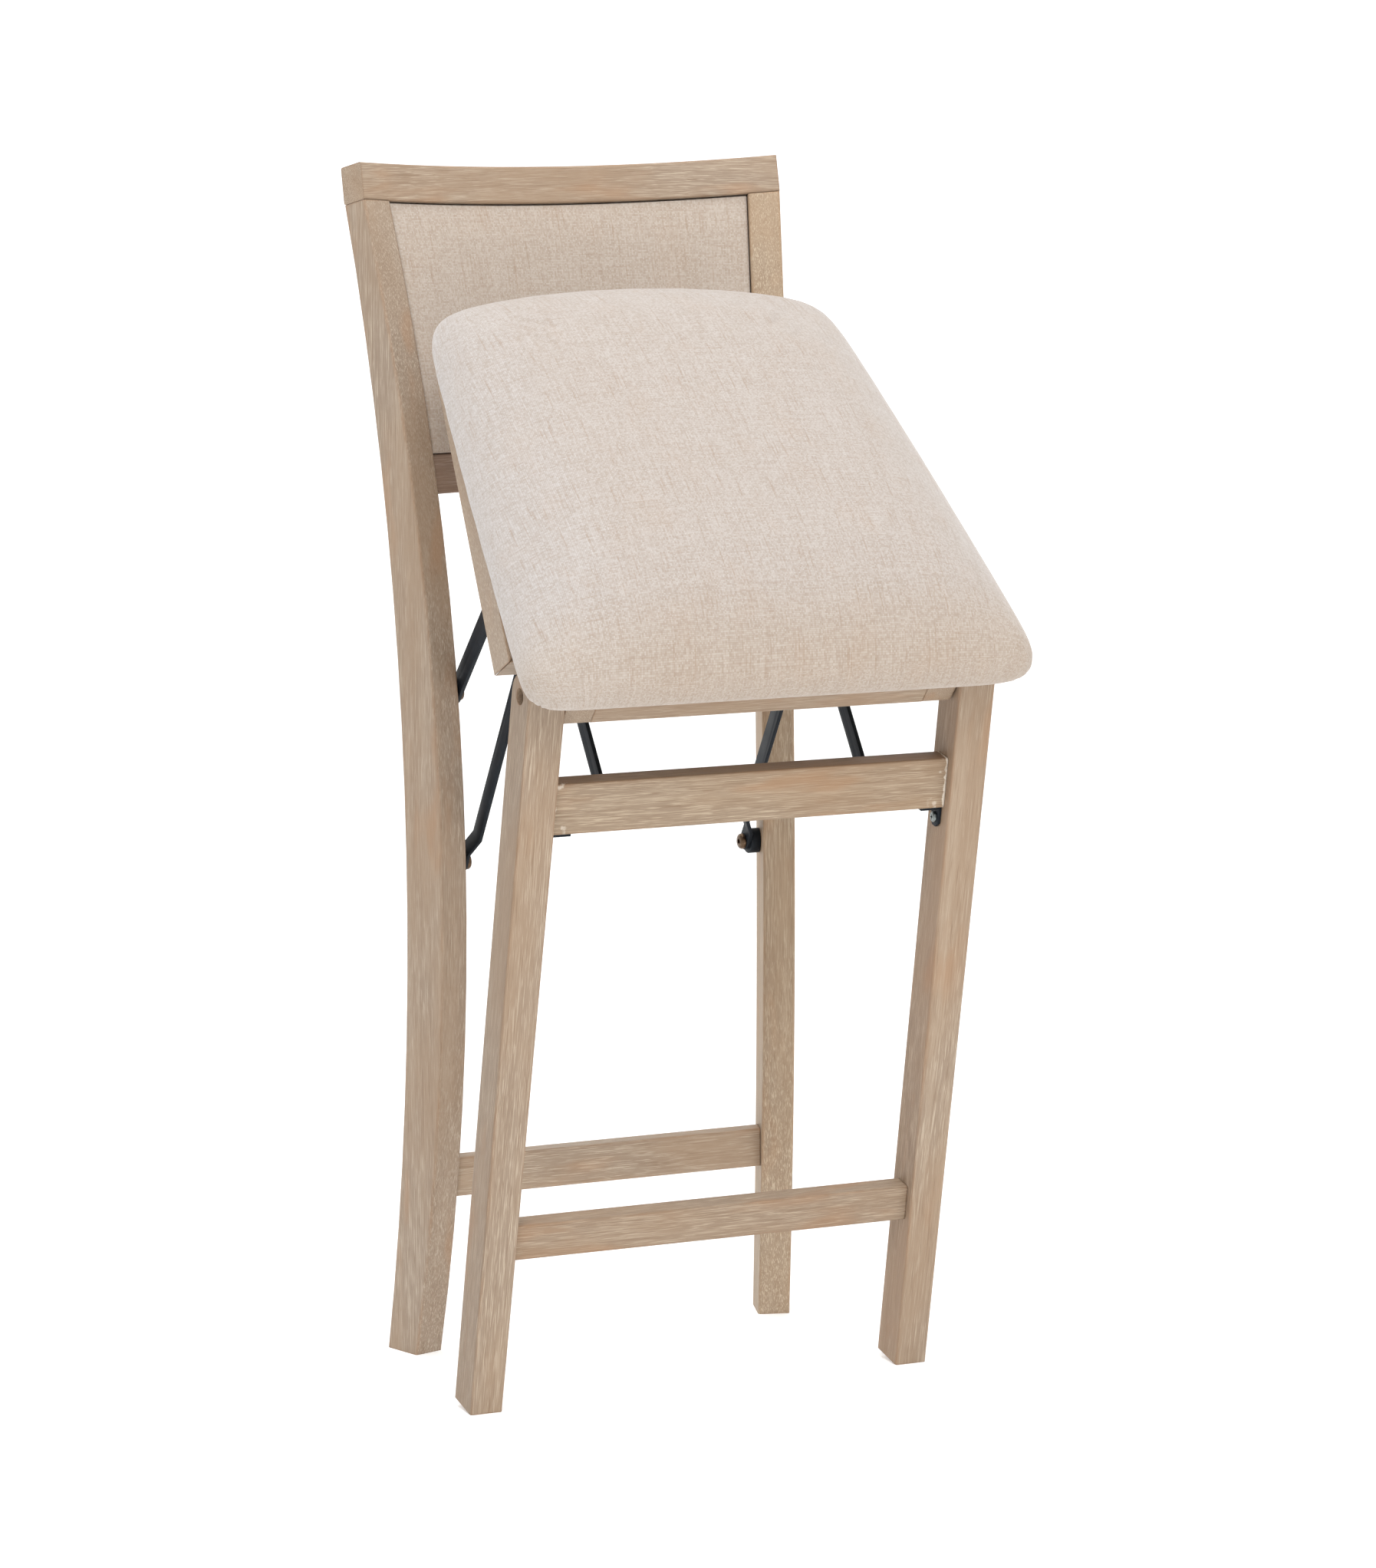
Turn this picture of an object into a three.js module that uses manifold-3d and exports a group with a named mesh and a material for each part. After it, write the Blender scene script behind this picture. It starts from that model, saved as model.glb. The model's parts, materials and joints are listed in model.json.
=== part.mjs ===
// Folding bar stool: a fixed rear frame, a front frame and a seat, tied by three pairs of flat steel links.
// Millimetres and degrees. X runs across the stool, Y from front to back, Z up, and the floor is Z = 0.
import * as THREE from 'three';
import Module from 'manifold-3d';
import { mergeVertices } from 'three/addons/utils/BufferGeometryUtils.js';

const wasm = await Module();
wasm.setup();

// Pose in which the stool stands: half folded
const frontLean = 12.2; // the front legs' tops lean forward
const seatTilt = 42; // the back of the seat is up

// Clearances
const glueGap = 0.3; // between wooden pieces that are glued
const metalGap = 0.3; // between steel pieces, and between steel and wood
const padGap = 0.8; // around upholstery
const boltPlay = 0.35; // around a bolt in its hole
const edgeRound = 2; // rounded long edges of the wood

// Front frame, measured along and across its own legs
const frontFootHalfWidth = 221; // outside of the leg at the floor
const frontTopHalfWidth = 218.4; // outside of the leg at the seat pivot
const frontFootWidth = 30.1;
const frontTopWidth = 34.1;
const frontLegDepth = 38.5;
const seatPivotHeight = 654; // along the leg, from the foot
const stretcherInset = 8.5; // stretcher face behind the leg face
const frontStretcherDepth = 20.7;
const upperStretcherDrop = 76.9; // its top below the seat pivot
const upperStretcherTall = 45.8;
const lowerStretcherHeight = 139.5;
const lowerStretcherTall = 32.5;

// Rear frame: each leg lies in a toed-in upright plane, and both planes meet at toeCentre in front
const toe = 17.6;
const toeCentre = -326;
const rearLegWidth = 29.5;
const rearLegFace = 529.6; // leg face from the toe centre at the waist, where the leg comes furthest forward
const rearWaistDepth = 50.7;
const rearWaistHeight = 413;
const rearLegTall = 1039;
const rearTopSweep = 99.8; // the leg's face at the top is this far behind the waist
const rearTopDepth = 28.6;
const crownTilt = 13.5; // the top rail leans back
const topRailTall = 34;
const backRailRise = 177.3; // above the upper links' pivots
const backRailTall = 35;
const backRailInset = 5;
const backRailDepth = 20;
const rearStretcherFace = 206;
const rearStretcherDepth = 20;
const rearStretcherHeight = 145.3;
const rearStretcherTall = 35.7;

// Padded back between the rear legs
const padInset = 3; // middle of the pad behind the leg faces
const padRoll = 5; // the pad's edge behind its middle
const padBack = 19; // back of the pad behind the leg faces
const backBoardThick = 5;

// Seat frame, in its own plane: s runs back from the front face, n up from the underside
const seatPivotBack = 18;
const seatPivotRise = 19.1;
const railTall = 40;
const railThick = 22;
const armWidth = 27;
const armRound = 2.5;
const washerThick = 1.2;
const crossFront = 58; // front of the cross member, at the underside
const crossSlant = 26; // its face leans forward at the top
const frameFrontHalfWidth = 224; // outside of the side rails at the cross member
const frameTaper = 8.5;
const frameBack = 400;
const rearRailRise = 13;
const boardThick = 9;
const boardInset = 7;

// Seat cushion, in the seat frame's own plane
const cushionFront = -33;
const cushionBack = 447; // in the middle of the bowed rear edge
const cushionFrontHalf = 240;
const cushionBackHalf = 194;
const cushionRearBow = 24.5;
const cushionSideRise = 58.6; // height of the widest line
const cushionRearDrop = 7.5; // the rear edge is this much lower, the front edge this much higher
const cushionRoll = 26.6; // rounding from the side to the top
const cushionCrown = 42.6; // the middle above that
const cushionTuck = 13.9; // the fabric turns under
const cushionFrontPower = 20; // squareness of the corners
const cushionRearPower = 13.6;
const cushionRollPower = 14; // tightness of the rounding
const cushionCrownPower = 3.9; // flatness of the crown

// Links
const linkThick = 3.5;
const upperLinkWidth = 19;
const lowerLinkWidth = 16;
const frontBarWidth = 16;
const upperLinkX = 146; // middle of each bar's thickness, from the middle of the stool
const lowerLinkX = 132;
const frontBarX = 124;
const lowerEyeX = 139.6; // the lower link steps out to this near its lower pivot
const stepStart = 14;
const stepEnd = 30;
const upperPivot = { y: 207, z: 604.7 }; // upper link on the rear leg
const lowerPivot = { y: 209, z: 451 }; // lower link on the rear leg
const upperSeatPivot = { s: 221.5, n: 29.5 }; // upper link under the seat
const lowerSeatPivot = { s: 187.4, n: 2.7 }; // lower link under the seat
const barPivotDepth = 38; // front bar behind the upper stretcher
const barPivotRise = 13.7; // above the stretcher's underside
const crossingLength = 304.6; // along the lower link from its lower pivot to the front bar
const barTail = 11;

// Fasteners and fittings
const linkBoltRadius = 3;
const linkHeadRadius = 7.2;
const linkHeadTall = 4.5;
const rivetHeadRadius = 5.4;
const rivetHeadTall = 2.4;
const socketRadius = 2.3;
const socketDepth = 2;
const boltBite = 18; // length of a link bolt in the rear leg
const spacerRadius = 11.5;
const seatBoltRadius = 4;
const seatBoltHeadRadius = 6.6;
const seatBoltHeadTall = 4.5;
const seatBoltBite = 16;
const pocketRadius = 7.25;
const pocketDepth = 9;
const washerRadius = 10;
const plateThick = 2.5;
const linkPlateWidth = 26;
const linkPlateFlange = 17;
const linkPlateDrop = 9; // plate below the pivot
const cornerPlateDepth = 14;
const cornerPlateTall = 19.5;
const cornerTabLength = 20;
const cornerPlateFace = 12; // in front of the plate, from the leg's face
const screwHeadRadius = 4.8;
const screwHeadTall = 2.6;
const screwRadius = 2;
const screwBite = 10;
const barPlateTall = 38;
const barPlateWidth = 18;
const barLugDrop = 9;

const colours = { wood: 0xb39a82, fabric: 0xd8c8b8, steel: 0x33393f, bronze: 0x6e5a48, board: 0x9c8468 };
const finishes = {
  wood: new THREE.MeshStandardMaterial({ color: colours.wood, roughness: 0.7, metalness: 0 }),
  fabric: new THREE.MeshStandardMaterial({ color: colours.fabric, roughness: 0.95, metalness: 0 }),
  steel: new THREE.MeshStandardMaterial({ color: colours.steel, roughness: 0.5, metalness: 0.3 }),
  bronze: new THREE.MeshStandardMaterial({ color: colours.bronze, roughness: 0.45, metalness: 0.8 }),
  board: new THREE.MeshStandardMaterial({ color: colours.board, roughness: 0.8, metalness: 0 }),
};
const sides = { left: -1, right: 1 };
const rad = THREE.MathUtils.degToRad;
const mix = THREE.MathUtils.lerp;
const point = (x, y, z) => new THREE.Vector3(x, y, z);

// Turns the faces of a closed indexed geometry outward
function facingOut(geometry) {
  const corners = geometry.attributes.position;
  const index = geometry.index.array;
  const [a, b, c] = [point(), point(), point()];
  let volume = 0;
  for (let i = 0; i < index.length; i += 3) {
    a.fromBufferAttribute(corners, index[i]);
    b.fromBufferAttribute(corners, index[i + 1]);
    c.fromBufferAttribute(corners, index[i + 2]);
    volume += a.dot(b.cross(c));
  }
  if (volume < 0) {
    index.reverse();
  }
  return geometry;
}

// A closed skin over rings of equally many points, with a flat fan at each end
function loft(rings) {
  const count = rings[0].length;
  const last = rings.length - 1;
  const points = rings.flat();
  const index = [];
  for (let i = 0; i < last; i += 1) {
    for (let j = 0; j < count; j += 1) {
      const a = i * count + j;
      const b = i * count + ((j + 1) % count);
      index.push(a, b, b + count, a, b + count, a + count);
    }
  }
  for (const ring of [0, last]) {
    const middle = points.length;
    points.push(rings[ring].reduce((sum, p) => sum.add(p), point()).divideScalar(count));
    for (let j = 0; j < count; j += 1) {
      const a = ring * count + j;
      const b = ring * count + ((j + 1) % count);
      index.push(...(ring === 0 ? [middle, b, a] : [middle, a, b]));
    }
  }
  const geometry = new THREE.BufferGeometry().setFromPoints(points);
  geometry.setIndex(new THREE.BufferAttribute(new Uint32Array(index), 1));
  return facingOut(geometry);
}

// A closed skin round two grids of points, front(u, v) and back(u, v), with u and v from 0 to 1
function slab(across, up, front, back) {
  const row = across + 1;
  const layer = row * (up + 1);
  const points = [];
  for (const surface of [front, back]) {
    for (let v = 0; v <= up; v += 1) {
      for (let u = 0; u <= across; u += 1) {
        points.push(surface(u / across, v / up));
      }
    }
  }
  const index = [];
  const quad = (a, b, c, d) => index.push(a, b, c, a, c, d);
  for (let v = 0; v < up; v += 1) {
    for (let u = 0; u < across; u += 1) {
      const a = v * row + u;
      quad(a, a + 1, a + row + 1, a + row);
      quad(layer + a, layer + a + row, layer + a + row + 1, layer + a + 1);
    }
  }
  for (let u = 0; u < across; u += 1) {
    const top = up * row + u;
    quad(u, layer + u, layer + u + 1, u + 1);
    quad(top, top + 1, layer + top + 1, layer + top);
  }
  for (let v = 0; v < up; v += 1) {
    const a = v * row;
    const b = a + across;
    quad(a, a + row, layer + a + row, layer + a);
    quad(b, layer + b, layer + b + row, b + row);
  }
  const geometry = new THREE.BufferGeometry().setFromPoints(points);
  geometry.setIndex(new THREE.BufferAttribute(new Uint32Array(index), 1));
  return facingOut(geometry);
}

// Outline of a rectangle with rounded corners, as [a, b] pairs
function roundedRectangle(lowA, highA, lowB, highB, radius = edgeRound, steps = 2) {
  const centres = [
    [highA - radius, highB - radius, 0],
    [lowA + radius, highB - radius, 90],
    [lowA + radius, lowB + radius, 180],
    [highA - radius, lowB + radius, 270],
  ];
  return centres.flatMap(([a, b, start]) => Array.from({ length: steps + 1 }, (_, i) => {
    const angle = rad(start + (90 * i) / steps);
    return [a + radius * Math.cos(angle), b + radius * Math.sin(angle)];
  }));
}

// Boolean work on closed geometries
function toSolid(geometry) {
  const bare = geometry.clone();
  bare.deleteAttribute('normal');
  bare.deleteAttribute('uv');
  const welded = mergeVertices(bare, 1e-4);
  return new wasm.Manifold(new wasm.Mesh({
    numProp: 3,
    vertProperties: welded.attributes.position.array,
    triVerts: new Uint32Array(welded.index.array),
  }));
}

function toGeometry(solid) {
  const mesh = solid.getMesh();
  const geometry = new THREE.BufferGeometry();
  geometry.setAttribute('position', new THREE.BufferAttribute(new Float32Array(mesh.vertProperties), 3));
  geometry.setIndex(new THREE.BufferAttribute(new Uint32Array(mesh.triVerts), 1));
  return geometry;
}

const cut = (geometry, ...tools) => toGeometry(
  tools.reduce((solid, tool) => solid.subtract(toSolid(tool)), toSolid(geometry)),
);
const join = (...pieces) => toGeometry(pieces.map(toSolid).reduce((sum, solid) => sum.add(solid)));

// A round rod along X from x = from to x = to, with its middle at y, z
function rod(radius, from, to, y, z, segments = 16) {
  const geometry = new THREE.CylinderGeometry(radius, radius, Math.abs(to - from), segments);
  geometry.rotateZ(Math.PI / 2);
  return geometry.translate((from + to) / 2, y, z);
}

// A bolt or rivet along X: a domed head that rises from its seat at x = seat toward the middle of the stool
// by outward = -1 on the right, or away from it by outward = 1, and a shank of the given length behind it
function fastener({ seat, outward, y, z, head, tall, shank, length, socket = 0 }) {
  const profile = [[0, -length], [shank, -length], [shank, 0], [head, 0], [head, tall * 0.45]];
  profile.push([head * 0.82, tall * 0.85], [head * 0.5, tall]);
  if (socket > 0) {
    profile.push([socket, tall], [socket, tall - socketDepth], [0, tall - socketDepth]);
  } else {
    profile.push([0, tall]);
  }
  const geometry = new THREE.LatheGeometry(profile.map(([r, along]) => new THREE.Vector2(r, along)), 16);
  geometry.rotateZ(outward > 0 ? -Math.PI / 2 : Math.PI / 2);
  return geometry.translate(seat, y, z);
}

// An upright plate along X between two outlines in Y and Z, with optional round holes
function plate(outline, from, to, holes = []) {
  const shape = new THREE.Shape(outline.map(([y, z]) => new THREE.Vector2(y, z)));
  for (const hole of holes) {
    const path = new THREE.Path();
    path.absarc(hole.y, hole.z, hole.radius, 0, Math.PI * 2, true);
    shape.holes.push(path);
  }
  const depth = Math.abs(to - from);
  const geometry = new THREE.ExtrudeGeometry(shape, { depth, bevelEnabled: false, curveSegments: 16 });
  geometry.rotateZ(Math.PI / 2);
  geometry.rotateY(Math.PI / 2);
  return geometry.translate(Math.min(from, to), 0, 0);
}

function addMesh(group, name, geometry, finish) {
  const mesh = new THREE.Mesh(geometry, finishes[finish]);
  mesh.name = name;
  group.add(mesh);
}

const upperStretcherHeight = seatPivotHeight - upperStretcherDrop - upperStretcherTall;

// The front legs' faces, x from the middle at a height along the leg
const frontOuterX = (height) => mix(frontFootHalfWidth, frontTopHalfWidth, height / seatPivotHeight);
const frontWidth = (height) => mix(frontFootWidth, frontTopWidth, height / seatPivotHeight);
const frontInnerX = (height) => frontOuterX(height) - frontWidth(height);
const frontPivotDepth = frontLegDepth / 2;

function frontLeg(side) {
  const topRadius = frontLegDepth / 2;
  const stations = [[0, topRadius], [upperStretcherHeight, topRadius], [seatPivotHeight, topRadius]];
  for (const angle of [15, 30, 45, 60, 75]) {
    const rise = topRadius * Math.sin(rad(angle));
    stations.push([seatPivotHeight + rise, topRadius * Math.cos(rad(angle))]);
  }
  const rings = stations.map(([z, half]) => {
    const round = Math.min(edgeRound, half / 2);
    const outline = roundedRectangle(frontInnerX(z), frontOuterX(z), frontPivotDepth - half,
      frontPivotDepth + half, round);
    return outline.map(([x, y]) => point(side * x, y, z));
  });
  const outer = frontOuterX(seatPivotHeight);
  const inner = frontInnerX(seatPivotHeight);
  const at = [frontPivotDepth, seatPivotHeight];
  const pocket = rod(pocketRadius, side * (outer - pocketDepth), side * (outer + pocketDepth), ...at, 24);
  const bore = rod(seatBoltRadius + boltPlay, side * (inner - 5), side * outer, ...at);
  const screwX = frontInnerX(cornerScrewHeight);
  const pilot = rod(screwRadius + boltPlay, side * (screwX - 5), side * (screwX + screwBite + 1),
    cornerScrewDepth, cornerScrewHeight, 12);
  return cut(loft(rings), pocket, bore, pilot);
}

// A stretcher between the front legs
function frontStretcher(height, tall) {
  const outline = roundedRectangle(stretcherInset, stretcherInset + frontStretcherDepth, height, height + tall);
  const end = (side) => outline.map(([y, z]) => point(side * (frontInnerX(z) - glueGap), y, z));
  return loft([end(-1), end(1)]);
}

// Pivot of the front bar behind the upper stretcher, in the front frame
const barPivot = { depth: barPivotDepth, height: upperStretcherHeight + barPivotRise };

// Corner bracket under each end of the upper front stretcher, and its screw in the leg
const cornerTop = upperStretcherHeight - metalGap;
const cornerScrewHeight = cornerTop - cornerPlateTall * 0.58;
const cornerScrewDepth = cornerPlateFace + cornerPlateDepth / 2;

function cornerBracket(side) {
  const face = frontInnerX(cornerTop) - metalGap - 0.2;
  const low = cornerTop - cornerPlateTall;
  const back = cornerPlateFace + cornerPlateDepth;
  const round = 4;
  const outline = [
    [cornerPlateFace, cornerTop], [cornerPlateFace, low + round], [cornerPlateFace + round, low],
    [back - round, low], [back, low + round], [back, cornerTop],
  ];
  const screwHole = { y: cornerScrewDepth, z: cornerScrewHeight, radius: screwRadius + boltPlay };
  const wall = plate(outline, side * (face - plateThick), side * face, [screwHole]);
  const tabOutline = [
    [cornerPlateFace, cornerTop - plateThick], [back, cornerTop - plateThick],
    [back, cornerTop], [cornerPlateFace, cornerTop],
  ];
  const tab = plate(tabOutline, side * (face - cornerTabLength), side * (face - plateThick / 2));
  return join(wall, tab);
}

function cornerScrew(side) {
  const seat = frontInnerX(cornerTop) - metalGap * 2 - 0.2 - plateThick;
  return fastener({
    seat: side * seat, outward: -side, y: cornerScrewDepth, z: cornerScrewHeight,
    head: screwHeadRadius, tall: screwHeadTall, shank: screwRadius, length: screwBite + plateThick,
  });
}

// Angle bracket on the back of the upper stretcher, with the lug that carries the front bar
const lugInner = frontBarX + linkThick / 2 + metalGap;
const lugOuter = lugInner + plateThick;

function barBracket(side) {
  const face = stretcherInset + frontStretcherDepth + metalGap;
  const top = upperStretcherHeight + barPlateTall;
  const low = barPivot.height - barLugDrop;
  const flangeOutline = [[face, low], [face + plateThick, low], [face + plateThick, top], [face, top]];
  const flange = plate(flangeOutline, side * lugInner, side * (lugInner + barPlateWidth));
  const back = barPivot.depth + barLugDrop;
  const high = barPivot.height + barLugDrop;
  const lugOutline = [[face, low], [back, low], [back, high], [face + plateThick, top], [face, top]];
  const hole = { y: barPivot.depth, z: barPivot.height, radius: linkBoltRadius + boltPlay };
  return join(flange, plate(lugOutline, side * lugInner, side * lugOuter, [hole]));
}

function barRivet(side) {
  return join(
    fastener({
      seat: side * (frontBarX - linkThick / 2 - metalGap), outward: -side,
      y: barPivot.depth, z: barPivot.height, head: rivetHeadRadius, tall: rivetHeadTall,
      shank: linkBoltRadius, length: linkThick + plateThick + metalGap * 3 + 0.5,
    }),
    fastener({
      seat: side * (lugOuter + metalGap), outward: side,
      y: barPivot.depth, z: barPivot.height, head: rivetHeadRadius, tall: rivetHeadTall,
      shank: linkBoltRadius, length: plateThick,
    }),
  );
}

const frontFrame = new THREE.Group();
frontFrame.rotation.x = rad(frontLean);
addMesh(frontFrame, 'upper_front_stretcher', frontStretcher(upperStretcherHeight, upperStretcherTall), 'wood');
addMesh(frontFrame, 'lower_front_stretcher', frontStretcher(lowerStretcherHeight, lowerStretcherTall), 'wood');
for (const [name, side] of Object.entries(sides)) {
  addMesh(frontFrame, `front_leg_${name}`, frontLeg(side), 'wood');
  addMesh(frontFrame, `corner_bracket_${name}`, cornerBracket(side), 'steel');
  addMesh(frontFrame, `corner_screw_${name}`, cornerScrew(side), 'bronze');
  addMesh(frontFrame, `bar_bracket_${name}`, barBracket(side), 'steel');
  addMesh(frontFrame, `bar_rivet_${name}`, barRivet(side), 'bronze');
}

// The rear legs' edges, as distances from the toe centre at a height: arcs with the given sweep at the top
const bow = (sweep, z) => {
  const tall = rearLegTall - rearWaistHeight;
  const radius = (tall ** 2 + sweep ** 2) / (2 * sweep);
  return radius - Math.sqrt(radius ** 2 - (z - rearWaistHeight) ** 2);
};
const rearFace = (z) => rearLegFace + bow(rearTopSweep, z);
const rearBack = (z) => rearLegFace + rearWaistDepth + bow(rearTopSweep + rearTopDepth - rearWaistDepth, z);
const backRailHeight = upperPivot.z + backRailRise;

// Height of the sloping joint under the top rail at a depth y
const crownDepth = toeCentre + Math.cos(rad(toe)) * (rearFace(rearLegTall) + rearBack(rearLegTall)) / 2;
const crownJoint = (y) => rearLegTall - (y - crownDepth) * Math.tan(rad(crownTilt));

// x of a rear leg's inner face at a depth y
const rearInnerX = (y) => (y - toeCentre) * Math.tan(rad(toe)) - rearLegWidth / 2 / Math.cos(rad(toe));

function rearLeg(side) {
  const steps = 18;
  const half = rearLegWidth / 2;
  const rings = [];
  for (let i = 0; i <= steps; i += 1) {
    const z = (rearLegTall * i) / steps;
    const outline = roundedRectangle(rearFace(z), rearBack(z), -half, half);
    rings.push(outline.map(([reach, off]) => {
      const x = reach * Math.sin(rad(toe)) + off * Math.cos(rad(toe));
      const y = toeCentre + reach * Math.cos(rad(toe)) - off * Math.sin(rad(toe));
      return point(side * x, y, i === steps ? crownJoint(y) : z);
    }));
  }
  const bores = [upperPivot, lowerPivot].map(({ y, z }) => {
    const face = rearInnerX(y);
    return rod(linkBoltRadius + boltPlay, side * (face - 12), side * (face + boltBite + 1), y, z, 12);
  });
  return cut(loft(rings), ...bores);
}

// A bent rail that follows the curve of the back: its ends lie on planes beside the legs' middle planes
function bentRail(outline, offset, place) {
  const steps = 14;
  const rings = [];
  for (let i = 0; i <= steps; i += 1) {
    const share = (2 * i) / steps - 1;
    rings.push(outline.map(([reach, up]) => {
      const angle = share * (rad(toe) + Math.asin(offset / reach));
      return place(reach * Math.sin(angle), toeCentre + reach * Math.cos(angle), up);
    }));
  }
  return loft(rings);
}

function topRail() {
  const outline = roundedRectangle(rearFace(rearLegTall), rearBack(rearLegTall), glueGap, glueGap + topRailTall);
  const lean = rad(crownTilt);
  return bentRail(outline, rearLegWidth / 2, (x, y, up) => (
    point(x, y + up * Math.sin(lean), crownJoint(y) + up * Math.cos(lean))
  ));
}

function lowerBackRail() {
  const outline = roundedRectangle(backRailInset, backRailInset + backRailDepth, 0, backRailTall);
  const raised = outline.map(([depth, up]) => [rearFace(backRailHeight + up) + depth, backRailHeight + up]);
  return bentRail(raised, -(rearLegWidth / 2 + glueGap), (x, y, z) => point(x, y, z));
}

function rearStretcher() {
  const outline = roundedRectangle(rearStretcherFace, rearStretcherFace + rearStretcherDepth,
    rearStretcherHeight, rearStretcherHeight + rearStretcherTall);
  const end = (side) => outline.map(([y, z]) => point(side * (rearInnerX(y) - glueGap), y, z));
  return loft([end(-1), end(1)]);
}

// One face of the padded back, behind(u, v) from the legs' faces, between the rails and the legs
const padLow = backRailHeight + backRailTall + padGap;

function backFace(behind) {
  return (u, v) => {
    const share = 2 * u - 1;
    const reachAt = (z) => rearFace(z) + behind(share, 2 * v - 1);
    const topReach = reachAt(rearLegTall);
    const topAngle = share * (rad(toe) - Math.asin((rearLegWidth / 2 + padGap) / topReach));
    const high = crownJoint(toeCentre + topReach * Math.cos(topAngle)) - padGap;
    const z = mix(padLow, high, v);
    const reach = reachAt(z);
    const angle = share * (rad(toe) - Math.asin((rearLegWidth / 2 + padGap) / reach));
    return point(reach * Math.sin(angle), toeCentre + reach * Math.cos(angle), z);
  };
}

const padShape = (a, b) => Math.sqrt((1 - a ** 12) * (1 - b ** 12));
const padFront = (a, b) => padInset + padRoll * (1 - padShape(a, b));
const boardFront = padBack + padGap;

// Spacer between a link and the slanting inner face of a rear leg
function spacer(side, pivot, linkX) {
  const near = linkX + linkThick / 2 + metalGap;
  const circle = Array.from({ length: 20 }, (_, i) => {
    const angle = (2 * Math.PI * i) / 20;
    return [pivot.y + spacerRadius * Math.cos(angle), pivot.z + spacerRadius * Math.sin(angle)];
  });
  const inner = circle.map(([y, z]) => point(side * near, y, z));
  const outer = circle.map(([y, z]) => point(side * (rearInnerX(y) - metalGap), y, z));
  const bore = rod(linkBoltRadius + boltPlay, side * (near - 5), side * (near + 40), pivot.y, pivot.z, 12);
  return cut(loft([inner, outer]), bore);
}

function linkBolt(side, pivot, linkX) {
  const seat = linkX - linkThick / 2 - metalGap;
  return fastener({
    seat: side * seat, outward: -side, y: pivot.y, z: pivot.z, head: linkHeadRadius, tall: linkHeadTall,
    shank: linkBoltRadius, length: rearInnerX(pivot.y) + boltBite - seat, socket: socketRadius,
  });
}

const rearFrame = new THREE.Group();
addMesh(rearFrame, 'top_rail', topRail(), 'wood');
addMesh(rearFrame, 'lower_back_rail', lowerBackRail(), 'wood');
addMesh(rearFrame, 'rear_stretcher', rearStretcher(), 'wood');
addMesh(rearFrame, 'back_pad', slab(20, 12, backFace(padFront), backFace(() => padBack)), 'fabric');
addMesh(rearFrame, 'back_board', slab(12, 3, backFace(() => boardFront),
  backFace(() => boardFront + backBoardThick)), 'board');
for (const [name, side] of Object.entries(sides)) {
  addMesh(rearFrame, `rear_leg_${name}`, rearLeg(side), 'wood');
  addMesh(rearFrame, `upper_spacer_${name}`, spacer(side, upperPivot, upperLinkX), 'steel');
  addMesh(rearFrame, `lower_spacer_${name}`, spacer(side, lowerPivot, lowerEyeX), 'steel');
  addMesh(rearFrame, `upper_link_bolt_${name}`, linkBolt(side, upperPivot, upperLinkX), 'bronze');
  addMesh(rearFrame, `lower_link_bolt_${name}`, linkBolt(side, lowerPivot, lowerEyeX), 'bronze');
}

// Seat frame: x of the side rails' outer and inner faces at a distance s
const frameOuterX = (s) => frameFrontHalfWidth - (s - crossFront) * Math.tan(rad(frameTaper));
const frameInnerX = (s) => frameOuterX(s) - railThick / Math.cos(rad(frameTaper));
const crossFace = (n) => crossFront - n * Math.tan(rad(crossSlant));
const armOuterX = frontInnerX(seatPivotHeight) - washerThick - metalGap * 2;
const armInnerX = armOuterX - armWidth;

// An outline of [x, s] corners moved inward by d
function insetOutline(corners, d) {
  const count = corners.length;
  const area = corners.reduce((sum, [x, y], i) => {
    const [x2, y2] = corners[(i + 1) % count];
    return sum + x * y2 - x2 * y;
  }, 0);
  const turn = Math.sign(area);
  return corners.map(([x, y], i) => {
    const before = corners[(i + count - 1) % count];
    const after = corners[(i + 1) % count];
    const e1 = new THREE.Vector2(x - before[0], y - before[1]).normalize();
    const e2 = new THREE.Vector2(after[0] - x, after[1] - y).normalize();
    const n1 = new THREE.Vector2(-e1.y, e1.x).multiplyScalar(turn);
    const n2 = new THREE.Vector2(-e2.y, e2.x).multiplyScalar(turn);
    const shift = n1.clone().add(n2).multiplyScalar(d / (1 + n1.dot(n2)));
    return [x + shift.x, y + shift.y];
  });
}

// A board in the seat plane between n = low and n = high, with small chamfers; outlineAt(n) gives its corners
function board(outlineAt, low, high, chamfer = edgeRound / 2) {
  const levels = [[low, chamfer], [low + chamfer, 0], [high - chamfer, 0], [high, chamfer]];
  return loft(levels.map(([n, inset]) => insetOutline(outlineAt(n), inset).map(([x, s]) => point(x, s, n))));
}

const sideRail = (side) => board((n) => {
  const front = crossFace(n);
  return [
    [side * frameOuterX(front), front], [side * frameOuterX(frameBack), frameBack],
    [side * frameInnerX(frameBack), frameBack], [side * frameInnerX(front + railThick), front + railThick],
  ];
}, 0, railTall);

const crossMember = () => board((n) => {
  const front = crossFace(n);
  const wide = frameOuterX(front) - glueGap * 2;
  const narrow = frameInnerX(front + railThick) - glueGap * 2;
  return [[-wide, front], [wide, front], [narrow, front + railThick], [-narrow, front + railThick]];
}, 0, railTall);

const rearRail = () => board(() => {
  const front = frameBack - railThick;
  const wide = frameInnerX(front) - glueGap;
  const narrow = frameInnerX(frameBack) - glueGap;
  return [[-wide, front], [wide, front], [narrow, frameBack], [-narrow, frameBack]];
}, rearRailRise, railTall);

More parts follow.
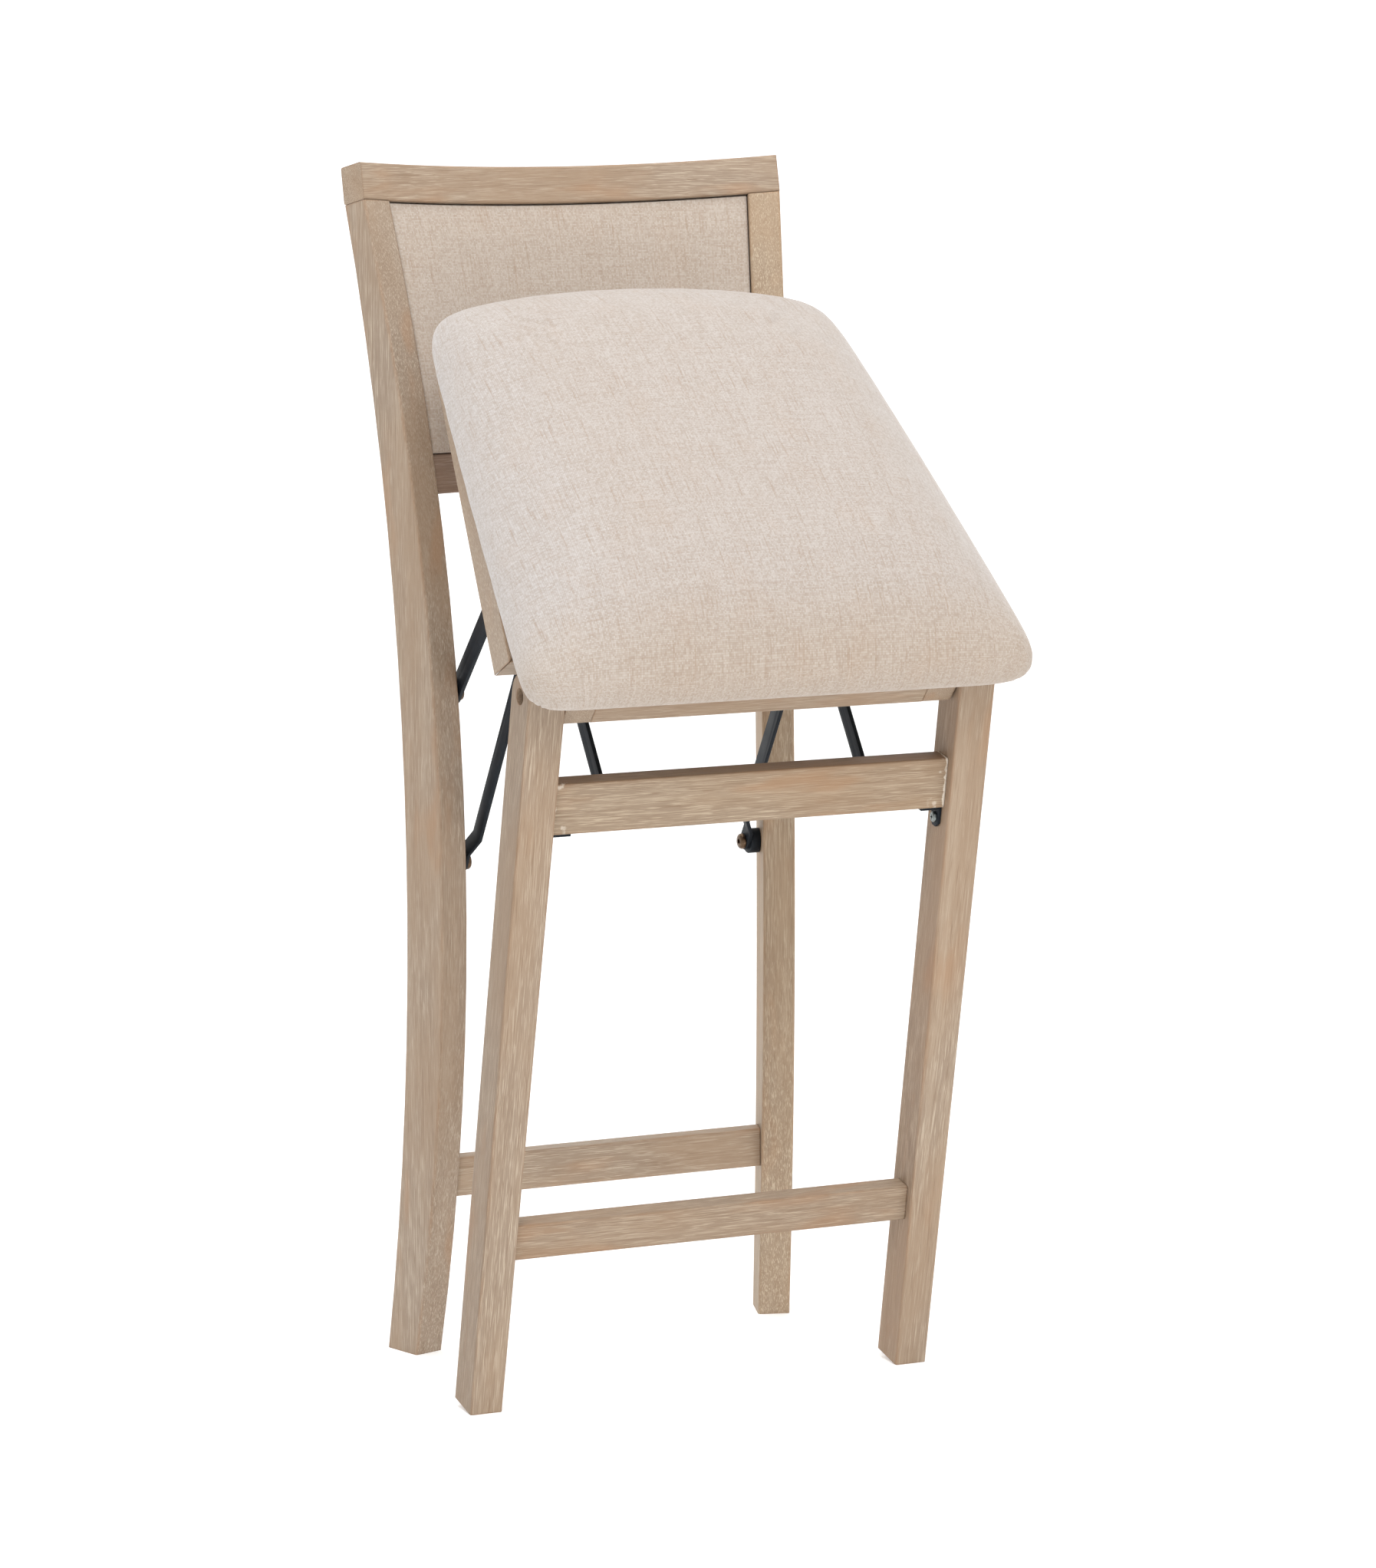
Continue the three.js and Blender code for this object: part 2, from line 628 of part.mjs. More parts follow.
function frontRail() {
  const outline = roundedRectangle(0, railThick, 0, railTall);
  const end = armInnerX - glueGap;
  return loft([-end, end].map((x) => outline.map(([s, n]) => point(x, s, n))));
}

// Arm beside the front leg, from the front rail to the cross member, bored for the seat bolt
function pivotArm(side) {
  const outline = [[0, railTall]];
  for (const angle of [180, 202.5, 225, 247.5, 270]) {
    outline.push([armRound + armRound * Math.cos(rad(angle)), armRound + armRound * Math.sin(rad(angle))]);
  }
  outline.push([crossFace(0) - glueGap, 0], [crossFace(railTall) - glueGap, railTall]);
  const bore = { y: seatPivotBack, z: seatPivotRise, radius: seatBoltRadius + boltPlay };
  return plate(outline, side * armInnerX, side * armOuterX, [bore]);
}

// Board on top of the frame, under the cushion
const boardLow = railTall + glueGap;
const boardHigh = boardLow + boardThick;
const boardOutline = (grow) => () => {
  const front = boardInset - grow;
  const back = frameBack - boardInset + grow;
  const wide = frontOuterX(seatPivotHeight) - boardInset + grow;
  const narrow = frameOuterX(frameBack) - boardInset + grow;
  return [[-wide, front], [wide, front], [narrow, back], [-narrow, back]];
};

// Point of the cushion's rim in a direction from its middle, with both coordinates from -1 to 1
function cushionRim(angle) {
  const [c, d] = [Math.cos(rad(angle)), Math.sin(rad(angle))];
  const power = d > 0 ? cushionRearPower : cushionFrontPower;
  const reach = (Math.abs(c) ** power + Math.abs(d) ** power) ** (-1 / power);
  return [reach * c, reach * d];
}

// Point in the seat plane at shares u across and v back
function cushionSpot(u, v) {
  const back = mix(cushionFront, cushionBack, (v + 1) / 2);
  const half = mix(cushionFrontHalf, cushionBackHalf, (v + 1) / 2);
  return [u * half, back - cushionRearBow * u ** 2 * Math.max(v, 0)];
}

function seatCushion() {
  const low = boardLow + 0.2;
  const quarter = [0, 14, 26, 34, 38.5, 41.5, 43.8, 46.2, 48.5, 51.5, 56, 64, 76];
  const rim = [0, 90, 180, 270].flatMap((start) => quarter.map((angle) => cushionRim(start + angle)));
  const ring = (share, height) => rim.map(([a, b]) => {
    const [u, v] = [a * share, b * share];
    const [x, s] = cushionSpot(u, v);
    const n = height(u, v);
    const drop = cushionRearDrop * v * THREE.MathUtils.clamp((n - low) / 30, 0, 1);
    return point(x, s, n - drop);
  });
  const crownAt = (u, v) => cushionCrown * (1 - Math.abs(u) ** cushionCrownPower) * (1 - Math.abs(v) ** cushionCrownPower);
  const tuckShare = (2 * cushionTuck) / (cushionFrontHalf + cushionBackHalf);
  const under = [1, 0.65, 0.3].map((share) => (
    ring(1 - tuckShare * share ** 2, () => mix(cushionSideRise, low, share))
  ));
  const over = [1, 0.995, 0.98, 0.95, 0.9, 0.82, 0.7, 0.52, 0.34, 0.16].map((share) => {
    const rise = Math.sqrt(1 - share ** cushionRollPower);
    return ring(share, (u, v) => cushionSideRise + rise * (cushionRoll + crownAt(u, v)));
  });
  const pocket = board(boardOutline(padGap), boardLow - 5, boardHigh + padGap, 0.5);
  return cut(loft([...under, ...over]), pocket);
}

function seatBolt(side) {
  const seat = frontOuterX(seatPivotHeight) - pocketDepth + metalGap;
  return fastener({
    seat: side * seat, outward: side, y: seatPivotBack, z: seatPivotRise, head: seatBoltHeadRadius,
    tall: seatBoltHeadTall, shank: seatBoltRadius, length: seat - armOuterX + seatBoltBite, socket: socketRadius,
  });
}

function seatWasher(side) {
  const circle = Array.from({ length: 20 }, (_, i) => {
    const angle = (2 * Math.PI * i) / 20;
    return [seatPivotBack + washerRadius * Math.cos(angle), seatPivotRise + washerRadius * Math.sin(angle)];
  });
  const hole = { y: seatPivotBack, z: seatPivotRise, radius: seatBoltRadius + boltPlay };
  const near = armOuterX + metalGap;
  return plate(circle, side * near, side * (near + washerThick), [hole]);
}

// Angle bracket under the seat board: an upright plate for a link's pivot and a flange toward flangeSide
function seatBracket(side, pivot, plateX, flangeSide) {
  const top = boardLow - metalGap;
  const low = pivot.n - linkPlateDrop;
  const front = pivot.s - linkPlateWidth / 2;
  const back = pivot.s + linkPlateWidth / 2;
  const outline = [[front, top], [front, low + 5], [front + 6, low], [back - 6, low], [back, low + 5], [back, top]];
  const hole = { y: pivot.s, z: pivot.n, radius: linkBoltRadius + boltPlay };
  const far = plateX + plateThick;
  const wall = plate(outline, side * plateX, side * far, [hole]);
  const flangeOutline = [[front, top - plateThick], [back, top - plateThick], [back, top], [front, top]];
  const from = flangeSide > 0 ? plateX + plateThick / 2 : far - plateThick / 2;
  const to = flangeSide > 0 ? far + linkPlateFlange : plateX - linkPlateFlange;
  return join(wall, plate(flangeOutline, side * from, side * to));
}

const upperPlateX = upperLinkX + linkThick / 2 + metalGap;
const lowerPlateX = lowerLinkX - linkThick / 2 - metalGap - plateThick;

// Bolt that carries the upper link under the seat
function upperSeatBolt(side) {
  const seat = upperLinkX - linkThick / 2 - metalGap;
  return join(
    fastener({
      seat: side * seat, outward: -side, y: upperSeatPivot.s, z: upperSeatPivot.n,
      head: rivetHeadRadius, tall: rivetHeadTall, shank: linkBoltRadius,
      length: upperPlateX + plateThick + metalGap + 0.5 - seat,
    }),
    fastener({
      seat: side * (upperPlateX + plateThick + metalGap), outward: side, y: upperSeatPivot.s,
      z: upperSeatPivot.n, head: rivetHeadRadius, tall: rivetHeadTall, shank: linkBoltRadius,
      length: plateThick,
    }),
  );
}

// Rivet head on the inner side of the lower link's bracket; the link's own stub faces it
function lowerSeatRivet(side) {
  return fastener({
    seat: side * (lowerPlateX - metalGap), outward: -side, y: lowerSeatPivot.s, z: lowerSeatPivot.n,
    head: rivetHeadRadius, tall: rivetHeadTall, shank: linkBoltRadius, length: plateThick + metalGap,
  });
}

// Place of the seat pivot in the upright plane, then of the seat's front bottom edge
const across = new THREE.Vector3(1, 0, 0);
const turned = (vector, angle) => vector.clone().applyAxisAngle(across, rad(angle));
const fromFront = (depth, height) => turned(point(0, depth, height), frontLean);
const seatPivotAt = fromFront(frontPivotDepth, seatPivotHeight);
const seatOrigin = seatPivotAt.clone().sub(turned(point(0, seatPivotBack, seatPivotRise), seatTilt));
const fromSeat = ({ s, n }) => turned(point(0, s, n), seatTilt).add(seatOrigin);

const seat = new THREE.Group();
seat.rotation.x = rad(seatTilt);
seat.position.copy(seatOrigin);
addMesh(seat, 'seat_front_rail', frontRail(), 'wood');
addMesh(seat, 'seat_cross_member', crossMember(), 'wood');
addMesh(seat, 'seat_rear_rail', rearRail(), 'wood');
addMesh(seat, 'seat_board', board(boardOutline(0), boardLow, boardHigh), 'board');
addMesh(seat, 'seat_cushion', seatCushion(), 'fabric');
for (const [name, side] of Object.entries(sides)) {
  addMesh(seat, `seat_side_rail_${name}`, sideRail(side), 'wood');
  addMesh(seat, `pivot_arm_${name}`, pivotArm(side), 'wood');
  addMesh(seat, `seat_bolt_${name}`, seatBolt(side), 'bronze');
  addMesh(seat, `seat_washer_${name}`, seatWasher(side), 'steel');
  addMesh(seat, `upper_link_bracket_${name}`, seatBracket(side, upperSeatPivot, upperPlateX, 1), 'steel');
  addMesh(seat, `lower_link_bracket_${name}`, seatBracket(side, lowerSeatPivot, lowerPlateX, -1), 'steel');
  addMesh(seat, `upper_seat_bolt_${name}`, upperSeatBolt(side), 'bronze');
  addMesh(seat, `lower_seat_rivet_${name}`, lowerSeatRivet(side), 'bronze');
}

// A flat bar along its own z, with round ends past z = 0 and z = length, and holes in it;
// the middle of its thickness is at x = middleAt(z)
function linkBar({ length, tail = 0, width, holes, middleAt }) {
  const half = width / 2;
  const end = length + tail;
  const stations = [0, stepStart, stepEnd, end].map((z) => [z, half]);
  for (const angle of [15, 30, 45, 60, 75, 86]) {
    const beyond = half * Math.sin(rad(angle));
    const narrow = half * Math.cos(rad(angle));
    stations.unshift([-beyond, narrow]);
    stations.push([end + beyond, narrow]);
  }
  const rings = stations.map(([z, reach]) => {
    const near = middleAt(z) - linkThick / 2;
    const far = middleAt(z) + linkThick / 2;
    return [point(near, -reach, z), point(far, -reach, z), point(far, reach, z), point(near, reach, z)];
  });
  const bores = holes.map((z) => {
    const middle = middleAt(z);
    return rod(linkBoltRadius + boltPlay, middle - linkThick, middle + linkThick, 0, z, 20);
  });
  return cut(loft(rings), ...bores);
}

// A group that stands at one pivot with its own z toward another point
function linkGroup(from, to) {
  const group = new THREE.Group();
  group.position.copy(from);
  group.rotation.x = -Math.atan2(to.y - from.y, to.z - from.z);
  return group;
}

const upperFoot = point(0, upperPivot.y, upperPivot.z);
const upperHead = fromSeat(upperSeatPivot);
const lowerFoot = point(0, lowerPivot.y, lowerPivot.z);
const lowerHead = fromSeat(lowerSeatPivot);
const barFoot = fromFront(barPivot.depth, barPivot.height);
const crossing = lowerHead.clone().sub(lowerFoot).setLength(crossingLength).add(lowerFoot);
const upperLinks = linkGroup(upperFoot, upperHead);
const lowerLinks = linkGroup(lowerFoot, lowerHead);
const frontBars = linkGroup(barFoot, crossing);
const upperLength = upperFoot.distanceTo(upperHead);
const lowerLength = lowerFoot.distanceTo(lowerHead);
const barLength = barFoot.distanceTo(crossing);

// The lower link steps from its lower eye to its own plane
function lowerLinkMiddle(z) {
  const share = THREE.MathUtils.clamp((z - stepStart) / (stepEnd - stepStart), 0, 1);
  return mix(lowerEyeX, lowerLinkX, share);
}

// Stub with its outer head on the lower link: at the crossing it also fills the gap to the front bar
function linkStub(side, z, inner) {
  const outer = lowerLinkX + linkThick / 2 + metalGap;
  return fastener({
    seat: side * outer, outward: side, y: 0, z, head: rivetHeadRadius, tall: rivetHeadTall,
    shank: linkBoltRadius, length: outer - inner,
  });
}

for (const [name, side] of Object.entries(sides)) {
  addMesh(upperLinks, `upper_link_${name}`, linkBar({
    length: upperLength, width: upperLinkWidth, holes: [0, upperLength],
    middleAt: () => side * upperLinkX,
  }), 'steel');
  addMesh(lowerLinks, `lower_link_${name}`, linkBar({
    length: lowerLength, width: lowerLinkWidth, holes: [0, crossingLength, lowerLength],
    middleAt: (z) => side * lowerLinkMiddle(z),
  }), 'steel');
  addMesh(lowerLinks, `link_stub_${name}`, linkStub(side, lowerLength, lowerLinkX - linkThick / 2), 'bronze');
  addMesh(lowerLinks, `crossing_stub_${name}`, linkStub(side, crossingLength,
    frontBarX + linkThick / 2 + metalGap), 'bronze');
  addMesh(frontBars, `front_bar_${name}`, linkBar({
    length: barLength, tail: barTail, width: frontBarWidth, holes: [0, barLength],
    middleAt: () => side * frontBarX,
  }), 'steel');
  addMesh(frontBars, `crossing_head_${name}`, fastener({
    seat: side * (frontBarX - linkThick / 2 - metalGap), outward: -side, y: 0, z: barLength,
    head: rivetHeadRadius, tall: rivetHeadTall, shank: linkBoltRadius, length: linkThick + metalGap,
  }), 'bronze');
}

// The whole stool, with the origin on the floor in the middle of its outline
const stool = new THREE.Group();
stool.add(rearFrame, frontFrame, seat, upperLinks, lowerLinks, frontBars);
stool.updateMatrixWorld(true);
const outlineBox = new THREE.Box3().setFromObject(stool, true);
stool.position.y = -(outlineBox.min.y + outlineBox.max.y) / 2;
stool.updateMatrixWorld(true);

export default stool;
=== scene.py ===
# Folding bar stool: finish of the wood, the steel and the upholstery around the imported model.
import json
import math

import bmesh
import bpy
from mathutils import Matrix, Vector


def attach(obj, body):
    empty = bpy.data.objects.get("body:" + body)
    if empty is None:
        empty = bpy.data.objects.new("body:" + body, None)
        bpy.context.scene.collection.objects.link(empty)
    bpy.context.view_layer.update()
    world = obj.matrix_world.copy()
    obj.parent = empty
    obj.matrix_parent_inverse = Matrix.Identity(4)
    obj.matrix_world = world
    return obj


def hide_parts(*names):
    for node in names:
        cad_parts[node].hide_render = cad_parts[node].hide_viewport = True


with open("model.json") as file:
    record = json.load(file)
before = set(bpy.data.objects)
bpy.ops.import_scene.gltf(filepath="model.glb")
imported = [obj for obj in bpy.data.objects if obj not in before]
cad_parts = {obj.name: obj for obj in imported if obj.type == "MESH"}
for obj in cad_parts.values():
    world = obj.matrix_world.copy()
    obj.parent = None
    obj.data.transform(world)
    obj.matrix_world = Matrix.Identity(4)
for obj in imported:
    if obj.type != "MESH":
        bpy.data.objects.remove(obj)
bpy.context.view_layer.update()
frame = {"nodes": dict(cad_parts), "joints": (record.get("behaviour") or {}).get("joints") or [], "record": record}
nodes = frame["nodes"]
joint_place = {joint["name"]: Vector(joint["pos_m"]) for joint in frame["joints"]}

# Places and angles of the parts at rest, in metres and degrees
FOLD_PIVOT = joint_place["fold"]
SEAT_PIVOT = joint_place["front_legs_on_seat"]
SEAT_TILT = 42.0
SEAT_PIVOT_IN_SEAT = (0.018, 0.0191)  # from the seat frame's front bottom edge, back and up
FRONT_LEAN = 12.2
TOE = 17.6
TOE_CENTRE_FROM_FOLD = -0.533  # toe centre's Y from the fold pivot

# Camera of the photograph, placed from the fold pivot
CAMERA_FROM_FOLD = Vector((-1.9085, -4.4312, 0.6116))
CAMERA_AZIMUTH = -0.4185
CAMERA_ELEVATION = 0.1299
CAMERA_ROLL = -0.0043
PHOTO_SIZE = (1794, 2044)
FOCAL_PIXELS = 7003.3
PRINCIPAL_POINT = (871.8, 917.5)
SENSOR = 36.0


def turned(angle):
    return Matrix.Rotation(math.radians(angle), 4, "X")


def frame_at(pivot, inside, angle):
    """Matrix from a tilted part's own frame (x, along its depth, up) to the row frame."""
    offset = turned(angle) @ Vector((0, inside[0], inside[1]))
    return Matrix.Translation(pivot - offset) @ turned(angle)


SEAT_FRAME = frame_at(SEAT_PIVOT, SEAT_PIVOT_IN_SEAT, SEAT_TILT)


def make_camera():
    a, e, r = CAMERA_AZIMUTH, CAMERA_ELEVATION, CAMERA_ROLL
    forward = Vector((-math.sin(a) * math.cos(e), math.cos(a) * math.cos(e), -math.sin(e)))
    right = forward.cross(Vector((0, 0, 1))).normalized()
    up = right.cross(forward)
    rolled_right = math.cos(r) * right + math.sin(r) * up
    rolled_up = math.cos(r) * up - math.sin(r) * right
    place = FOLD_PIVOT + CAMERA_FROM_FOLD
    data = bpy.data.cameras.new("camera")
    width, height = PHOTO_SIZE
    data.sensor_fit = "AUTO"
    data.sensor_width = SENSOR
    data.lens = FOCAL_PIXELS * SENSOR / height
    data.shift_x = (width / 2 - PRINCIPAL_POINT[0]) / height
    data.shift_y = (PRINCIPAL_POINT[1] - height / 2) / height
    data.clip_end = 60
    camera = bpy.data.objects.new("camera", data)
    rows = [[rolled_right[i], rolled_up[i], -forward[i], place[i]] for i in range(3)]
    camera.matrix_world = Matrix(rows + [[0, 0, 0, 1]])
    bpy.context.scene.collection.objects.link(camera)
    bpy.context.scene.camera = camera


make_camera()


def add_mesh(name, mesh):
    piece = bpy.data.objects.new(name, mesh)
    bpy.context.scene.collection.objects.link(piece)
    return piece


def srgb(red, green, blue):
    """A linear colour from the 0 to 255 values seen on a screen."""
    def linear(value):
        value /= 255
        return value / 12.92 if value <= 0.04045 else ((value + 0.055) / 1.055) ** 2.4
    return (linear(red), linear(green), linear(blue), 1.0)


class Nodes:
    """Short calls for building a material's node tree."""

    def __init__(self, name):
        self.material = bpy.data.materials.new(name)
        self.material.use_nodes = True
        self.tree = self.material.node_tree
        self.tree.nodes.clear()
        self.shader = self.add("ShaderNodeBsdfPrincipled")
        output = self.add("ShaderNodeOutputMaterial")
        self.join(self.shader.outputs["BSDF"], output.inputs["Surface"])

    def add(self, kind, **values):
        node = self.tree.nodes.new(kind)
        for key, value in values.items():
            setattr(node, key, value)
        return node

    def join(self, output, target):
        if isinstance(output, (int, float, tuple)):
            target.default_value = output
        else:
            self.tree.links.new(output, target)

    def math(self, operation, first, second=0.0, third=0.0):
        node = self.add("ShaderNodeMath", operation=operation)
        for value, target in zip((first, second, third), node.inputs):
            self.join(value, target)
        return node.outputs[0]

    def vector_math(self, operation, first, second):
        node = self.add("ShaderNodeVectorMath", operation=operation)
        self.join(first, node.inputs[0])
        self.join(second, node.inputs[1])
        return node.outputs[0]

    def place(self):
        return self.add("ShaderNodeTexCoord").outputs["Object"]

    def rotated(self, vector, euler, scale=(1.0, 1.0, 1.0), location=(0.0, 0.0, 0.0)):
        """The vector turned by euler, then scaled."""
        turn = self.add("ShaderNodeMapping", vector_type="POINT")
        turn.inputs["Rotation"].default_value = euler
        self.join(vector, turn.inputs["Vector"])
        stretch = self.add("ShaderNodeMapping", vector_type="POINT")
        stretch.inputs["Scale"].default_value = scale
        stretch.inputs["Location"].default_value = location
        self.join(turn.outputs[0], stretch.inputs["Vector"])
        return stretch.outputs[0]

    def split(self, vector):
        node = self.add("ShaderNodeSeparateXYZ")
        self.join(vector, node.inputs[0])
        return node.outputs[0], node.outputs[1], node.outputs[2]

    def gathered(self, x, y, z):
        node = self.add("ShaderNodeCombineXYZ")
        for value, target in zip((x, y, z), node.inputs):
            self.join(value, target)
        return node.outputs[0]

    def scaled(self, vector, scale, location=(0.0, 0.0, 0.0)):
        stretch = self.add("ShaderNodeMapping", vector_type="POINT")
        stretch.inputs["Scale"].default_value = scale
        stretch.inputs["Location"].default_value = location
        self.join(vector, stretch.inputs["Vector"])
        return stretch.outputs[0]

    def noise(self, vector, scale=1.0, detail=2.0, roughness=0.5, distortion=0.0):
        node = self.add("ShaderNodeTexNoise")
        self.join(vector, node.inputs["Vector"])
        node.inputs["Scale"].default_value = scale
        node.inputs["Detail"].default_value = detail
        node.inputs["Roughness"].default_value = roughness
        node.inputs["Distortion"].default_value = distortion
        return node.outputs["Fac"]

    def ramp(self, value, *stops):
        node = self.add("ShaderNodeValToRGB")
        self.join(value, node.inputs["Fac"])
        elements = node.color_ramp.elements
        while len(elements) < len(stops):
            elements.new(0.5)
        for element, (place, color) in zip(elements, stops):
            element.position = place
            element.color = color if isinstance(color, tuple) else (color, color, color, 1.0)
        return node.outputs["Color"]

    def step(self, value, low, high, out_low=0.0, out_high=1.0):
        node = self.add("ShaderNodeMapRange", interpolation_type="SMOOTHSTEP")
        self.join(value, node.inputs["Value"])
        for name, number in zip(("From Min", "From Max", "To Min", "To Max"), (low, high, out_low, out_high)):
            node.inputs[name].default_value = number
        return node.outputs["Result"]

    def mix(self, factor, first, second, blend="MIX"):
        node = self.add("ShaderNodeMix", data_type="RGBA", blend_type=blend)
        self.join(factor, node.inputs["Factor"])
        self.join(first, node.inputs[6])
        self.join(second, node.inputs[7])
        return node.outputs[2]

    def bump(self, height, distance, strength=1.0, below=None):
        node = self.add("ShaderNodeBump")
        self.join(height, node.inputs["Height"])
        node.inputs["Distance"].default_value = distance
        node.inputs["Strength"].default_value = strength
        if below is not None:
            self.join(below, node.inputs["Normal"])
        return node.outputs["Normal"]

    def finish(self, color, roughness, normal=None, metallic=0.0, specular=0.35):
        self.join(color, self.shader.inputs["Base Color"])
        self.join(roughness, self.shader.inputs["Roughness"])
        self.shader.inputs["Metallic"].default_value = metallic
        self.shader.inputs["Specular IOR Level"].default_value = specular
        if normal is not None:
            self.join(normal, self.shader.inputs["Normal"])
        return self.material


# Wood: grey-washed, with whitish open grain along each piece
WOOD_BASE = srgb(153, 131, 109)
WOOD_GREY = srgb(149, 131, 113)
WOOD_LIME = srgb(189, 173, 153)
WOOD_DARK = srgb(128, 104, 82)
WOOD_RUST = srgb(162, 126, 95)
DRIED_GLUE = srgb(226, 217, 203)
WOOD_EDGE = 0.0024  # radius of the softened edges
BENT_RAIL_RADIUS = 0.64  # the bent rails' distance from the toe centre
WHITE = (1.0, 1.0, 1.0)

# Joints with glue traces: their distance from the middle, and the traces' strength
GLUED_ENDS = {"upper_front_stretcher": (0.1858, 0.9)}

# Painted shade on the faces that look along an axis, towards its plus or minus end: the stretcher's top under the
# cushion, the front legs' left sides
PAINTED_FACE_SHADES = {
    "upper_front_stretcher": (2, 1, (0.66, 0.6, 0.56)),
    "front_leg_left": (0, -1, (0.84, 0.83, 0.82)),
    "front_leg_right": (0, -1, (0.92, 0.88, 0.86)),
}

# Tone of a whole piece: partly the wood's own colour, partly painted light and shade
# Painted light on the rear leg at the right and on the rear stretcher, painted shade on the lower back rail
PIECE_TONES_AND_PAINTED_LIGHT = {
    "upper_front_stretcher": (0.97, 0.95, 0.9), "lower_front_stretcher": (0.95, 0.93, 0.9),
    "rear_leg_left": (1.0, 1.02, 1.05), "rear_leg_right": (1.14, 1.14, 1.1),
    "rear_stretcher": (1.13, 1.15, 1.17), "lower_back_rail": (0.78, 0.74, 0.79),
}


def glue_marks(n, place, color, end, strength):
    """Whitish glue left along the joints at both ends, |x| = end, and some blots beside them."""
    across, _back, _up = n.split(place)
    near = n.math("SUBTRACT", end, n.math("ABSOLUTE", across))
    rough = n.noise(n.scaled(place, (60, 90, 120)), detail=3.0, roughness=0.65)
    ragged = n.math("MULTIPLY", n.math("SUBTRACT", rough, 0.5), 0.007)
    line = n.step(n.math("SUBTRACT", near, ragged), 0.0034, 0.0022)
    line = n.math("MULTIPLY", line, n.step(rough, 0.3, 0.5, 0.4, 0.95))
    blots = n.noise(n.scaled(place, (70, 90, 60)), detail=3.0, roughness=0.7)
    blot = n.math("MULTIPLY", n.step(blots, 0.58, 0.66, 0.0, 0.6), n.step(near, 0.022, 0.004))
    return n.mix(n.math("MULTIPLY", n.math("MAXIMUM", line, blot), strength), color, DRIED_GLUE)


def wood_material(name, euler, seed, curve_centre=None, tone_and_painted_light=WHITE, glue=None, painted_face_shade=None):
    """Wood whose grain runs along z after the turn by euler, or round curve_centre for a bent rail."""
    n = Nodes(name)
    place = n.place()
    if curve_centre is not None:
        across, back, up = n.split(place)
        depth = n.math("SUBTRACT", back, curve_centre)
        square = n.math("ADD", n.math("MULTIPLY", depth, depth), n.math("MULTIPLY", across, across))
        along = n.math("MULTIPLY", n.math("ARCTAN2", across, depth), BENT_RAIL_RADIUS)
        bent = n.gathered(n.math("POWER", square, 0.5), up, along)
        grain = n.rotated(bent, (0, 0, 0), location=(seed, seed * 0.7, seed * 0.3))
    else:
        grain = n.rotated(place, euler, location=(seed, seed * 0.7, seed * 0.3))
    warp = n.noise(n.scaled(grain, (7, 7, 2.2)), detail=1.0)
    sway = n.gathered(n.math("MULTIPLY", warp, 0.006), n.math("MULTIPLY", warp, 0.005), 0.0)
    wavy = n.vector_math("ADD", grain, sway)
    fine = n.noise(n.scaled(wavy, (1500, 1500, 36)), detail=2.0, roughness=0.6)
    coarse = n.noise(n.scaled(wavy, (900, 900, 24)), detail=2.0, roughness=0.6)
    bands = n.noise(n.scaled(wavy, (70, 70, 2.2)), detail=2.0, roughness=0.5)
    clouds = n.noise(n.scaled(grain, (16, 16, 5)), detail=3.0)
    color = n.mix(n.step(clouds, 0.35, 0.65), WOOD_BASE, WOOD_GREY)
    color = n.mix(n.step(bands, 0.48, 0.3, 0.0, 0.22), color, WOOD_DARK)
    color = n.mix(n.step(bands, 0.55, 0.75, 0.0, 0.2), color, WOOD_LIME)
    color = n.mix(n.step(coarse, 0.46, 0.3, 0.0, 0.52), color, WOOD_DARK)
    limed = n.math("MAXIMUM", n.step(fine, 0.53, 0.64, 0.0, 0.8), n.step(coarse, 0.57, 0.68, 0.0, 0.5))
    limed = n.math("MULTIPLY", limed, n.step(clouds, 0.3, 0.62, 0.35, 1.0))
    color = n.mix(limed, color, WOOD_LIME)
    rust = n.noise(n.scaled(grain, (34, 34, 9)), detail=2.0)
    color = n.mix(n.step(rust, 0.56, 0.74, 0.0, 0.45), color, WOOD_RUST)
    soft_edge = n.add("ShaderNodeBevel", samples=4)
    soft_edge.inputs["Radius"].default_value = WOOD_EDGE
    geometry = n.add("ShaderNodeNewGeometry")
    facing = n.add("ShaderNodeVectorMath", operation="DOT_PRODUCT")
    n.join(soft_edge.outputs[0], facing.inputs[0])
    n.join(geometry.outputs["True Normal"], facing.inputs[1])
    wear_noise = n.noise(n.scaled(grain, (80, 80, 18)), detail=2.0)
    at_edge = n.step(facing.outputs["Value"], 0.995, 0.93)
    wear = n.math("MULTIPLY", at_edge, n.step(wear_noise, 0.38, 0.6, 0.15, 0.7))
    color = n.mix(wear, color, WOOD_RUST)
    # Tone of the whole piece: partly the wood's own colour, partly painted light and shade
    color = n.mix(1.0, color, tone_and_painted_light + (1.0,), blend="MULTIPLY")
    # Painted shade on the faces that look along the given axis
    if painted_face_shade is not None:
        axis, away, shade = painted_face_shade
        painted_shade_mask = n.step(n.split(soft_edge.outputs[0])[axis], 0.35 * away, 0.8 * away)
        color = n.mix(painted_shade_mask, color, shade + (1.0,), blend="MULTIPLY")
    if glue is not None:
        color = glue_marks(n, place, color, *glue)
    bump = n.bump(fine, 0.00025, 0.3, below=soft_edge.outputs[0])
    bump = n.bump(coarse, 0.0004, 0.3, below=bump)
    rough = n.step(coarse, 0.3, 0.7, 0.5, 0.66)
    return n.finish(color, rough, bump, specular=0.3)


# Cushion sizes on the seat's own axes
CUSHION_HALF = 0.2368  # half width at the front
CUSHION_TAPER = 0.0958  # half width lost per metre back
CUSHION_MIDDLE = 0.207
CUSHION_HALF_DEPTH = 0.24
CUSHION_TURN = 0.084  # height where the top turns down

